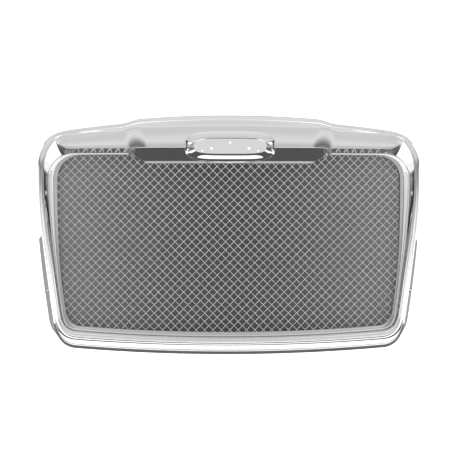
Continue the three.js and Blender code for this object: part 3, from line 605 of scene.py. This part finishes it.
ROUNDING = (0, 1.2, 8, 11, 7, 1.0, 2.0, 1.5, 0)
BULGE = (0, 0, 1.5, 2.0, 0.8, 2.2, -0.4, 0, 0)
front_line = surround_corners()
back_line = moved_inwards(front_line, WALL)
skin = rounded(front_line, ROUNDING, BULGE)
lining = rounded(back_line[::-1], ROUNDING[::-1])
surround_rows = np.concatenate([from_section(skin), from_section(lining)]).transpose(1, 0, 2)
surround = looped_piece("surround", full_loop(surround_rows), CHROME)
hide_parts("surround_shell")
print("surround quads", len(surround.data.polygons))

# %% [markdown]
# ## The channel frame
#
# The wire panel's cut ends are hidden in a folded channel. Only its front lip is seen, as a thin bright line
# inside the ledge. The section is a U with small bend radii, swept round the panel's rail.

# %% Channel frame
def panel_point(line, behind):
    """A point of the panel: x and z from the line, y from the panel's fore less the depth behind it."""
    return np.stack([line[..., 0], -(panel_fore(line[..., 0], line[..., 1]) - behind), line[..., 1]], -1)


def panel_ring(section, radii):
    """Sweeps a closed section of (outwards, behind) corners round the panel's rail, with rounded corners."""
    section = np.array(section, float)
    looped = np.concatenate([section, section[:1]])[:, None, :]
    looped = np.concatenate([looped, np.zeros_like(looped[..., :1])], -1)
    line = rounded(looped, (*radii, radii[0]), steps=4)[:-1, 0, :2]
    rings = np.array([rail_points(grown(RAILS["panel"], by)) for by, _ in line])
    rows = panel_point(rings, line[:, 1][:, None]).transpose(1, 0, 2)
    return full_loop(rows)


def panel_outline(by):
    """The panel's rail moved outwards by a distance, as one closed loop of x and z."""
    return full_loop(rail_points(grown(RAILS["panel"], by)))


front, back, sheet = CHANNEL_FRONT, CHANNEL_FRONT + CHANNEL_THICK, CHANNEL_SHEET
web = CHANNEL_WIDTH - sheet
channel_section = [
    (0, front), (CHANNEL_WIDTH, front), (CHANNEL_WIDTH, back), (0, back),
    (0, back - sheet), (web, back - sheet), (web, front + sheet), (0, front + sheet),
]
channel_loop = panel_ring(channel_section, (0.0, 1.6, 1.6, 0.5, 0.5, 0.3, 0.3, 0.5))
channel = looped_piece("panel_channel", channel_loop, FRAME_CHROME)
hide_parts("mesh_frame")
print("channel quads", len(channel.data.polygons))

# %% [markdown]
# ## The woven wire
#
# In a plain weave every wire goes over one crossing wire and under the next, so its centre line is a cosine with
# one half wave per pitch. Wires of one direction start over where their neighbours start under. Each wire is a
# small round tube swept along that line, cut where it meets the channel.

# %% Woven wire
SLANT = np.sqrt(0.5)
WEAVE_SWING = WIRE_RADIUS + WIRE_PLAY
ROUND_SIDES, WIRE_STEP = 8, WIRE_PITCH / 4


def wire_limits(ring, origin, direction):
    """The first and last distance along a line where it crosses the closed ring."""
    beyond = np.roll(ring, -1, axis=0)
    square = np.array([direction[1], -direction[0]])
    a, b = (ring - origin) @ square, (beyond - origin) @ square
    hit = (a >= 0) != (b >= 0)
    t = a[hit] / (a[hit] - b[hit])
    crossing = lerp(ring[hit], beyond[hit], t[:, None])
    along = (crossing - origin) @ direction
    return (along.min(), along.max()) if len(along) > 1 else (0.0, 0.0)


def woven_wire(origin, direction, limits, phase):
    """One tube: circles square to the line x(s) = origin + s direction, whose depth swings as cos(pi s / pitch)."""
    s = np.arange(*limits, WIRE_STEP)
    line = origin + s[:, None] * direction
    swing = phase * WEAVE_SWING * np.cos(np.pi * s / WIRE_PITCH)
    centre = panel_point(line, WEAVE_MIDDLE - swing)
    tangent = unit(np.gradient(centre, axis=0))
    sideways = np.array([-direction[1], 0.0, direction[0]])
    sideways = unit(sideways - tangent * (tangent @ sideways)[:, None])
    upright = np.cross(tangent, sideways)
    angle = np.arange(ROUND_SIDES) * 2 * np.pi / ROUND_SIDES
    ring = np.cos(angle)[None, :, None] * sideways[:, None] + np.sin(angle)[None, :, None] * upright[:, None]
    return centre[:, None] + WIRE_RADIUS * ring


def weave_set(name, direction, node, first):
    """All wires of one direction, as one mesh of closed tubes."""
    ring = panel_outline(WIRE_REACH)
    direction = np.array(direction)
    across = np.array([-direction[1], direction[0]])
    points, faces, caps, base, count = [], [], [], 0, 0
    reach = int((HALF_W + HALF_H) / WIRE_PITCH)
    for i in range(-reach, reach + 1):
        origin = (i + 0.5) * WIRE_PITCH * across
        low, high = wire_limits(ring, origin, direction)
        if high - low < WIRE_PITCH:
            continue
        low = np.ceil(low / WIRE_STEP) * WIRE_STEP
        tube = woven_wire(origin, direction, (low, high), first * (1 if i % 2 else -1))
        rows, columns = tube.shape[:2]
        faces.append(base + grid_faces(rows, columns, closed_rows=False))
        caps += [base + cap for cap in end_caps(rows, columns)]
        points.append(tube.reshape(-1, 3))
        base += rows * columns
        count += 1
    piece = make_piece(name, np.concatenate(points), np.concatenate(faces), WIRE_CHROME, caps)
    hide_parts(node)
    print(name, count, "wires", len(piece.data.polygons), "faces")


weave_set("rising_wires", (SLANT, SLANT), "mesh_front_wires", 1)
weave_set("falling_wires", (SLANT, -SLANT), "mesh_rear_wires", -1)

# %% [markdown]
# ## The insect screen and its frame
#
# Behind the wire lies a fine cloth that keeps insects out of the radiator. It is what makes the openings look an
# even dark grey. The cloth is the outline shrunk towards the middle in even steps, which follows the bow, and a
# plastic frame with soft edges presses it against the channel.

# %% Insect screen
CLOTH_STEPS, POLE_SCALE = 26, 0.02


def outline_sheet(by, near, far):
    """Two skins joined at the edge, each the ring scaled from 1 down to POLE_SCALE, where a polygon closes it."""
    shrunk = panel_outline(by) * np.linspace(1, POLE_SCALE, CLOTH_STEPS)[:, None, None]
    return np.concatenate([panel_point(shrunk, near)[::-1], panel_point(shrunk, far)])


cloth_rows = outline_sheet(CHANNEL_WIDTH - CLOTH_INSET, SCREEN_FRONT, SCREEN_FRONT + CLOTH_THICK)
cloth = capped_piece("insect_cloth", cloth_rows, SCREEN)
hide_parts("bug_screen")

near, far = SCREEN_FRAME_FRONT, SCREEN_FRAME_FRONT + SCREEN_FRAME_THICK
inner = CHANNEL_WIDTH - SCREEN_FRAME_WIDTH
frame_loop = panel_ring([(CHANNEL_WIDTH, near), (CHANNEL_WIDTH, far), (inner, far), (inner, near)], (1, 1.5, 1.5, 1))
cloth_frame = looped_piece("cloth_frame", frame_loop, PLASTIC)
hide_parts("bug_screen_frame")
print("cloth faces", len(cloth.data.polygons), "frame faces", len(cloth_frame.data.polygons))

# %% [markdown]
# ## The badge holder
#
# A badge sits in an oval bezel: a ring with a rolled lip, and an inset pad with the badge's fixing holes. The
# outline is a superellipse, because its ends are round while its long sides stay nearly straight. The ring's
# section is given as shares of its border, so it is wider at the ends than above and below.

# %% Bezel
PAD_HALF_WIDTH, PAD_TOP, PAD_BOTTOM, PAD_SHEET, PAD_DROP, PAD_LEAN = 106.0, 25.0, 25.0, 3.0, 98.0, 18.0
BEZEL_BORDER, BEZEL_ABOVE, BEZEL_BELOW, BEZEL_PROUD, BADGE_RECESS, BEZEL_LIP = 25.0, 19.0, 20.5, 9.0, 4.0, 1.6
BADGE_SEAT, UPPER_POWER, LOWER_POWER = 3.0, 0.62, 0.5
ON_BAR, BAR_SINK, FOOT_DEPTH = 20.0, 1.0, 40.0
PAD_Z = HALF_H - PAD_DROP
CHIN_Z = HALF_H - RAILS["chin"]["top"]


def bar_face(x, z):
    """Fore of the top bar's skin in its raised centre: straight between the crown, brow, chin, sill and reveal."""
    names = ("sill", "chin", "brow", "crown")
    low, *heights = (HALF_H - RAILS[name]["top"] for name in ("reveal", *names))
    fores = [crown_fore(0, h) - DEPTHS[name][0] + LIFTS[name] * BLOCK_RAISE for name, h in zip(names, heights)]
    return np.interp(z, [low, *heights], [panel_fore(0, low), *fores]) - BOW * (x / HALF_W) ** 2


def lip_fore(z):
    """Fore of the bezel's lip plane, which leans back with height."""
    return bar_face(0, CHIN_Z) + BEZEL_PROUD - np.tan(np.radians(PAD_LEAN)) * (z - PAD_Z)


def badge_outline(angle, share, more):
    """A superellipse: a square root of the cosine across, and a power of the sine up and down."""
    c, s = np.cos(angle), np.sin(angle)
    wide = PAD_HALF_WIDTH + BEZEL_BORDER * share + more
    above, below = PAD_TOP + BEZEL_ABOVE * share + more, PAD_BOTTOM + BEZEL_BELOW * share + more
    tall = np.where(s > 0, above * np.abs(s) ** UPPER_POWER, below * np.abs(s) ** LOWER_POWER)
    return wide * np.sign(c) * np.sqrt(np.abs(c)), PAD_Z + np.sign(s) * tall


LIP_EDGE = [(0, -BEZEL_LIP, 0), (0, -BEZEL_LIP, BADGE_RECESS), (0, FIT, BADGE_RECESS)]


def bezel_section(outer, skirt, half, foot):
    """The visible corners, the lip's edge and a hidden side at the given depths: skirt, half way and foot."""
    flange = [(0, FIT, skirt), (0, FIT + 2, skirt), (0, FIT + 2, skirt - 5)]
    hidden = [*flange, (0.5, 0, half), (1, -2.5, foot), (1, -2.5, FOOT_DEPTH)]
    return np.array([(1, 0, FOOT_DEPTH), *outer, *LIP_EDGE, *hidden], float)[:, None, :]


RAMP = bezel_section([(1, 0, 8.2), (0.6, 0, 2.5), (0.2, 0, 0.4)], 14, 5, 12)
BEAD = bezel_section([(1, 0, 17.5), (0.7, 0, 10.4), (0.2, 0, 5.1)], 18, 13, 21)
END = bezel_section([(1, 0, 16.5), (0.86, 0, 13.2), (0.66, 0, 12.2)], 16, 12, 21)
CORNER = bezel_section([(1, 0, 22), (0.6, 0, 14.5), (0.4, 0, 9.5)], 18, 15, 26)
BEZEL_ROUNDING = (0, 1.5, 1.2, 1.0, 0.6, 0.3, 0.2, 0.3, 0.3, 0.3, 2, 1, 0)
SHARE_SCALE = np.array([20.0, 1.0, 1.0])
# Where each mix starts and how much further it is complete, in the cosine's size or the falling sine.
END_MIX, LOWER_HALF, CORNER_MIX = (0.35, 0.4), (-0.2, 0.4), (-0.05, 0.6)


def even_turn(count):
    """Angles that are a little closer together where the outline turns fastest."""
    u = (np.arange(count) + 0.5) / count
    return 2 * np.pi * (u - 0.035 * np.sin(8 * np.pi * u))


def past(value, start, span):
    """0 up to the start and 1 from a span beyond it, eased, as a column for mixing sections."""
    return ease((value - start) / span)[None, :, None]


def bezel_rows():
    """A ramp above, a bead below and scooped ends, deeper in the lower corners, on the bar's face at the foot."""
    angle = even_turn(360)
    fall = -np.sin(angle)
    below = ease(0.5 + 1.1 * fall)[None, :, None]
    end = past(np.abs(np.cos(angle)), *END_MIX) * past(fall, *LOWER_HALF)
    ends = lerp(END, CORNER, past(fall, *CORNER_MIX))
    corners = lerp(lerp(RAMP, BEAD, below), ends, end) * SHARE_SCALE
    line = (rounded(corners, BEZEL_ROUNDING, steps=6) / SHARE_SCALE).transpose(1, 0, 2)
    x, z = badge_outline(angle[:, None], line[..., 0], line[..., 1])
    fore = np.where(line[..., 2] > ON_BAR, bar_face(x, z) - BAR_SINK, lip_fore(z) - line[..., 2])
    return np.stack([x, -fore, z], -1)


bezel = looped_piece("badge_ring", bezel_rows(), CHROME)
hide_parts("badge_bezel")
print("bezel faces", len(bezel.data.polygons))

# %% [markdown]
# ## The badge pad
#
# The pad is a flat plate with five holes. A flat curve with holes can be filled, thickened and given a small round
# on every edge at once, which would be fiddly as a grid, so the pad is drawn as a curve and made a mesh.

# %% Pad
PAD_HOLES = ((0, 9.5, 3), (-54.5, -8, 3.6), (54.5, -8, 3.6), (-81, -14.5, 2.6), (81, -14.5, 2.6))
PAD_ROUND, HOLE_SIDES = 0.5, 28


def closed_spline(curve, points):
    """Adds a closed straight-sided line through the points, in metres."""
    spline = curve.splines.new("POLY")
    spline.points.add(len(points) - 1)
    spline.points.foreach_set("co", np.c_[points * MM, np.zeros(len(points)), np.ones(len(points))].ravel())
    spline.use_cyclic_u = True


def settled_mesh(thing):
    """The mesh of an object with its curve or its modifiers worked out."""
    bpy.context.view_layer.update()
    return bpy.data.meshes.new_from_object(thing.evaluated_get(bpy.context.evaluated_depsgraph_get()))


def make_pad():
    """The outline and the holes in the pad's own plane, laid on the plane behind the lip."""
    x, z = badge_outline(even_turn(240), 0, -PAD_ROUND)
    slope = 1 / np.cos(np.radians(PAD_LEAN))
    curve = bpy.data.curves.new("pad", "CURVE")
    curve.dimensions, curve.fill_mode = "2D", "BOTH"
    curve.extrude, curve.bevel_depth, curve.bevel_resolution = (PAD_SHEET / 2 - PAD_ROUND) * MM, PAD_ROUND * MM, 2
    closed_spline(curve, np.c_[x, (z - PAD_Z) * slope])
    turn = np.arange(HOLE_SIDES) * 2 * np.pi / HOLE_SIDES
    for hole_x, up, radius in PAD_HOLES:
        circle = (radius + PAD_ROUND) * np.c_[np.cos(turn), np.sin(turn)]
        closed_spline(curve, circle + [hole_x, up * slope])
    drawn = placed("pad_curve", curve)
    mesh = settled_mesh(drawn)
    bpy.data.objects.remove(drawn)
    middle = lip_fore(PAD_Z) - BADGE_RECESS - FIT - PAD_SHEET / 2
    lean = Matrix.Rotation(np.radians(90 - PAD_LEAN), 4, "X")
    mesh.transform(Matrix.Translation((0, -middle * MM, PAD_Z * MM)) @ lean)
    mesh.materials.clear()
    mesh.materials.append(CHROME)
    piece = placed("badge_plate", mesh)
    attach(piece, "root")
    return piece


pad = make_pad()
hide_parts("badge_pad")
print("pad faces", len(pad.data.polygons))

# %% [markdown]
# ## The opening behind the pad
#
# Daylight shows through the pad's holes, so the surround is open behind it. A block with the pad's outline is
# subtracted from the shell once, and the result is applied, so nothing is left to work out later.

# %% Opening behind the pad
CUT_REAR, CUT_FRONT = 60.0, 190.0


def cut_badge_opening():
    """Subtracts the pad's outline, shrunk by the seat and run through the wall."""
    x, z = badge_outline(even_turn(120), 0, -BADGE_SEAT)
    rows = np.stack([np.stack([x, np.full_like(x, -fore), z], -1) for fore in (CUT_REAR, CUT_FRONT)])
    cutter = capped_piece("opening_cutter", rows, CHROME)
    modifier = surround.modifiers.new("opening", "BOOLEAN")
    modifier.operation, modifier.solver, modifier.object = "DIFFERENCE", "EXACT", cutter
    cut = settled_mesh(surround)
    surround.modifiers.clear()
    surround.data = cut
    bpy.data.objects.remove(cutter)


cut_badge_opening()
print("surround faces after the opening", len(surround.data.polygons))

# %% [markdown]
# ## Stampings and nuts
#
# The clips, brackets and nuts already have their true shape in the part, only their edges are razor sharp. A copy
# of each is merged and its edges are rounded by a few tenths of a millimetre, so they catch light as cut sheet does.

# %% Stampings
MERGE_DISTANCE, FLAT_ANGLE, EDGE_ANGLE = 0.00001, np.radians(1.0), np.radians(50)


def softened(node, width, finish):
    """A copy of the node with its doubles merged and its edges rounded by the given width in millimetres."""
    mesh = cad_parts[node].data.copy()
    shape = bmesh.new()
    shape.from_mesh(mesh)
    bmesh.ops.remove_doubles(shape, verts=shape.verts, dist=MERGE_DISTANCE)
    bmesh.ops.dissolve_limit(shape, angle_limit=FLAT_ANGLE, verts=shape.verts, edges=shape.edges)
    shape.to_mesh(mesh)
    shape.free()
    dress(mesh, finish)
    piece = placed(f"{node}_finished", mesh)
    edge = piece.modifiers.new("edges", "BEVEL")
    edge.width, edge.segments, edge.limit_method, edge.angle_limit = width * MM, 2, "ANGLE", EDGE_ANGLE
    edge.harden_normals = True
    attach(piece, "root")
    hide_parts(node)
    return piece


STAMPINGS = (
    ("retainer_clip_", 0.35, SPRING, "spring_steel"),
    ("badge_push_nut_", 0.25, SPRING, "spring_steel"),
    ("hood_bracket_", 0.45, ZINC, "bracket_zinc"),
    ("hood_nut_", 0.5, SCREW_ZINC, "fastener_zinc"),
)
for start, width, finish, slot_name in STAMPINGS:
    made = [softened(node, width, finish) for node in sorted(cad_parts) if node.startswith(start)]
    print(start, len(made))

# %% [markdown]
# ## Screws
#
# A pan-head screw is a profile turned round its axis. The profile is computed as radius against depth. In the
# recess the radius swings four times per turn, which makes a cross, and the thread is a row of small ridges. The
# axis comes from the part's own screw, as the longest direction of its points.

# %% Screws
SCREW_SIDES, HEAD_RADIUS, SHANK_RADIUS, HEAD_HEIGHT = 32, 5.2, 2.2, 3.2
RECESS_SWING, THREAD_STEP, THREAD_RIDGE = 0.32, 0.45, 0.16


def screw_axis(node):
    """The head's end, and the unit direction from there to the tip, from the spread of the node's points."""
    points = np.array([v.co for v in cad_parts[node].data.vertices]) / MM
    middle = (points.max(0) + points.min(0)) / 2
    direction = np.linalg.svd(points - points.mean(0), full_matrices=False)[2][0]
    along = (points - middle) @ direction
    wide = np.linalg.norm(points - middle - along[:, None] * direction, axis=1) > 0.75 * HEAD_RADIUS
    if along[wide].mean() > 0:
        direction, along = -direction, -along
    axis_point = points[wide].mean(0)
    return axis_point + ((points - axis_point) @ direction).min() * direction, direction, np.ptp(along)


def turned(profile, swing, start, direction, sides=SCREW_SIDES):
    """Rings of radius r (1 + swing cos 4a) at depth d behind the start, where a is the angle."""
    profile, swing = np.array(profile, float), np.array(swing, float)
    angle = np.arange(sides) * 2 * np.pi / sides
    radius = profile[:, :1] * (1 + swing[:, None] * np.cos(4 * angle))
    side = unit(np.cross(direction, [0.3, 0.1, 1.0]))
    up = np.cross(direction, side)
    return (start + profile[:, 1, None, None] * direction
            + radius[..., None] * (np.cos(angle)[:, None] * side + np.sin(angle)[:, None] * up))


def make_screw(node):
    """Recess, rounded head, thread and tip, turned round the axis of the part's screw."""
    start, direction, length = screw_axis(node)
    recess = [(0.3, 1.9), (1.5, 1.9), (2.2, 0.25)]
    turn = np.linspace(0.12, 1, 7) * np.pi / 2
    dome = [(2.9 + 2.3 * np.sin(t), 1.9 * (1 - np.cos(t))) for t in turn]
    head = [(2.7, 0.02), *dome, (HEAD_RADIUS, HEAD_HEIGHT - 0.3), (HEAD_RADIUS - 0.2, HEAD_HEIGHT)]
    depth = np.arange(HEAD_HEIGHT + 0.3, length - 2.0, THREAD_STEP)
    ridge = THREAD_RIDGE * (np.cos(np.pi * depth / THREAD_STEP) - 1)
    thread = np.c_[SHANK_RADIUS + ridge, depth].tolist()
    tip = [(SHANK_RADIUS - 0.4, length - 1.6), (0.5, length)]
    profile = [*recess, *head, (SHANK_RADIUS, HEAD_HEIGHT), *thread, *tip]
    swing = [RECESS_SWING] * len(recess) + [0] * (len(profile) - len(recess))
    screw = capped_piece(f"{node}_finished", turned(profile, swing, start, direction), SCREW_ZINC)
    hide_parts(node)
    return start, direction


SCREWS = {node: make_screw(node) for node in sorted(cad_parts) if "_screw_" in node}
print("screws", len(SCREWS))

# %% [markdown]
# ## Posts, bosses and studs
#
# Behind the skin the moulding grows a post for each clip screw, a boss for each bracket screw and a boss for each
# stud of the badge holder. A post starts at its screw and runs forward until it meets the wall, which a ray finds.

# %% Posts and studs
wall = surround.data
wall_tree = BVHTree.FromPolygons([v.co for v in wall.vertices], [p.vertices[:] for p in wall.polygons])


def wall_ahead(start, direction):
    """The distance from a point to the moulding along a direction, in millimetres."""
    hit = wall_tree.ray_cast(Vector(start * MM), Vector(direction))
    return hit[3] / MM if hit[0] else 0.0


def post(name, start, direction, radius, length):
    """A cylinder with a softened rear end and a foot that flares by a fifth over its last 4 mm."""
    rear_end = [(radius - 2, 0), (radius - 0.5, 0), (radius, 0.6)]
    profile = [*rear_end, (radius, length - 4), (radius * 1.06, length - 2), (radius * 1.2, length)]
    piece = capped_piece(name, turned(profile, np.zeros(len(profile)), start, direction, POST_SIDES), CHROME)
    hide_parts("surround_shell")


POST_RADIUS, RIM_BOSS_RADIUS, BADGE_BOSS_RADIUS, STUD_RADIUS, STUD_LENGTH, BOSS_LENGTH = 7.0, 5.2, 7.0, 3.0, 8.0, 5.0
CLIP_SHEET, RIM_BOSS_HEIGHT, STUD_BURIED, POST_SIDES, STUD_SIDES = 2.0, 15.0, 6.0, 28, 24
FORWARD = np.array([0.0, -1.0, 0.0])
for node, (start, direction) in SCREWS.items():
    if node.startswith("clip"):
        foot = start + direction * (HEAD_HEIGHT + CLIP_SHEET + FIT)
        post(node.replace("clip_screw", "post"), foot, direction, POST_RADIUS, wall_ahead(foot, direction) + WALL / 2)
    else:
        foot = np.array([start[0], -(RIM_FORE + WALL / 2), start[2]])
        post(node.replace("bracket_screw", "rim_boss"), foot, FORWARD, RIM_BOSS_RADIUS, RIM_BOSS_HEIGHT)
for number in range(1, 5):
    low, high = (np.array(corner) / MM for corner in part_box(f"badge_push_nut_{number}"))
    centre = (low + high) / 2
    rear, front = high[1], low[1] - FIT
    foot = np.array([centre[0], front, centre[2]])
    post(f"badge_boss_{number}", foot, FORWARD, BADGE_BOSS_RADIUS, BOSS_LENGTH + WALL / 2)
    stud_start = np.array([centre[0], rear + STUD_LENGTH, centre[2]])
    reach = STUD_LENGTH + rear - front + BOSS_LENGTH + WALL + STUD_BURIED
    profile = [(STUD_RADIUS - 0.8, 0), (STUD_RADIUS, 0.8), (STUD_RADIUS, reach)]
    stud_rings = turned(profile, [0, 0, 0], stud_start, FORWARD, STUD_SIDES)
    stud = capped_piece(f"badge_stud_{number}", stud_rings, CHROME)
    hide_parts("badge_bezel")
print("posts, bosses and studs made")

# %% [markdown]
# ## The studio
#
# Chrome shows its surroundings, so the light is the picture. A pale sweep below and behind gives white. The world's
# grey depends on direction: a little darker overhead, dark to the sides before the object, and darker where two
# screens stand high to the left and right of the viewer. Four dark cards below and behind are seen in reflections
# only. Two broad lamps, which reflections don't see, keep the rest even.

# %% Studio
def grey_ramp(tree, source, stops):
    """A ramp of greys over a value, smooth between its stops and level beyond them."""
    ramp = add_node(tree, "ShaderNodeValToRGB")
    ramp.color_ramp.interpolation = "EASE"
    ramp.color_ramp.elements[0].position, ramp.color_ramp.elements[1].position = stops[0][0], stops[-1][0]
    for position, _ in stops[1:-1]:
        ramp.color_ramp.elements.new(position)
    for element, (_, grey) in zip(ramp.color_ramp.elements, stops):
        element.color = (grey, grey, grey, 1)
    tree.links.new(source, ramp.inputs["Fac"])
    return ramp.outputs["Color"]


FORWARD_STOPS = ((0.4, 1.0), (0.62, 0.9), (0.75, 1.0), (0.95, 1.0), (0.985, 0.78), (1.0, 0.65))
HEIGHT_STOPS = (
    (0.0, 0.8), (0.4, 0.9), (0.5, 1.0), (0.57, 1.0), (0.66, 0.5), (0.7, 0.5), (0.79, 0.76), (0.89, 0.64), (1.0, 0.8)
)
SIDE_STOPS = ((0.86, 0.0), (0.94, 0.84))
GATE_STOPS = ((0.4, 0.0), (0.5, 1.0))
SCREEN_ACROSS = ((0.25, 0.0), (0.55, 0.7))
SCREEN_UPWARD = ((0.54, 0.0), (0.6, 1.0), (0.63, 1.0), (0.75, 0.0))
WORLD_STRENGTH = 1.05
PAPER_TONE, PAPER_GLOW = 0.9, 0.75
FLOOR, SWEEP_FRONT, SWEEP_BACK, SWEEP_RADIUS, SWEEP_TOP, SWEEP_HALF_WIDTH = -0.62, -9.0, 9.0, 1.2, 4.8, 11.0


def studio_world():
    """Ramps over how far forward and up a direction points, multiplied, less the dark sides and the screens."""
    world = bpy.data.worlds.new("studio")
    bpy.context.scene.world = world
    world.use_nodes = True
    tree = world.node_tree
    toward = coordinates(tree, "Generated")
    across = worked(tree, "ABSOLUTE", toward["X"])
    forward = worked(tree, "MULTIPLY_ADD", toward["Y"], -0.5, 0.5)
    upward = worked(tree, "MULTIPLY_ADD", toward["Z"], 0.5, 0.5)

    def product(first, first_stops, second, second_stops):
        return worked(tree, "MULTIPLY", grey_ramp(tree, first, first_stops), grey_ramp(tree, second, second_stops))

    light = product(forward, FORWARD_STOPS, upward, HEIGHT_STOPS)
    sides = product(across, SIDE_STOPS, forward, GATE_STOPS)
    screens = product(across, SCREEN_ACROSS, upward, SCREEN_UPWARD)
    for dark in (sides, screens):
        light = worked(tree, "MULTIPLY", light, worked(tree, "SUBTRACT", 1.0, dark))
    background = tree.nodes["Background"]
    background.inputs["Strength"].default_value = WORLD_STRENGTH
    tree.links.new(light, background.inputs["Color"])


def card(name, tone, **more):
    """A dull grey."""
    return new_finish(name, **{"Base Color": (tone, tone, tone, 1), "Roughness": 1.0}, **more)[0]


def studio_sweep():
    """A floor that turns up into a back wall by a quarter circle."""
    turn = np.linspace(0, np.pi / 2, 24)
    y = np.concatenate([[SWEEP_FRONT], SWEEP_BACK - SWEEP_RADIUS + SWEEP_RADIUS * np.sin(turn), [SWEEP_BACK]])
    z = np.concatenate([[FLOOR], FLOOR + SWEEP_RADIUS * (1 - np.cos(turn)), [SWEEP_TOP]])
    points = np.concatenate([np.stack([np.full_like(y, x), y, z], -1) for x in (-SWEEP_HALF_WIDTH, SWEEP_HALF_WIDTH)])
    paper = card("paper", PAPER_TONE, **{"Emission Color": (1, 1, 1, 1), "Emission Strength": PAPER_GLOW})
    sweep = placed("sweep", smooth_mesh("sweep", points, grid_faces(2, len(y), False, False).tolist(), paper))


def soft_lamp(name, at, size, power):
    """A square area lamp that points at the origin."""
    data = bpy.data.lights.new(name, "AREA")
    data.size, data.energy = size, power
    lamp = placed(name, data)
    lamp.location = at
    lamp.visible_glossy = False
    lamp.rotation_euler = (-Vector(at)).to_track_quat("-Z", "Y").to_euler()


def dark_flag(name, centre, across, up, tone):
    """A dark card that only reflections see: a rectangle given by its centre, two half sides and its tone."""
    centre, across, up = (np.array(v, float) for v in (centre, across, up))
    corners = np.array([centre - across - up, centre + across - up, centre + across + up, centre - across + up])
    grey = card(name, tone, **{"Specular IOR Level": 0.0})
    flag = placed(name, smooth_mesh(name, corners, [(0, 1, 2, 3)], grey))
    flag.visible_camera = flag.visible_diffuse = flag.visible_shadow = flag.visible_transmission = False


studio_world()
studio_sweep()
dark_flag("flag_below", (0, -0.70, -0.457), (1.5, 0, 0), (0, 0.5, 0.113), tone=0.12)
dark_flag("flag_under", (0, 0.45, -0.61), (1.8, 0, 0), (0, 0.7, 0), tone=0.2)
for side in (-1, 1):
    dark_flag(f"flag_back_{side + 2}", (1.2 * side, 0.9, -0.34), (0.5, 0, 0), (0, 0, 0.3), tone=0.36)
    soft_lamp(f"soft_box_{side + 2}", (3.2 * side, -1.4, 2.2), size=2.6, power=16)
bpy.context.scene.view_settings.view_transform = "Standard"
print("studio ready")
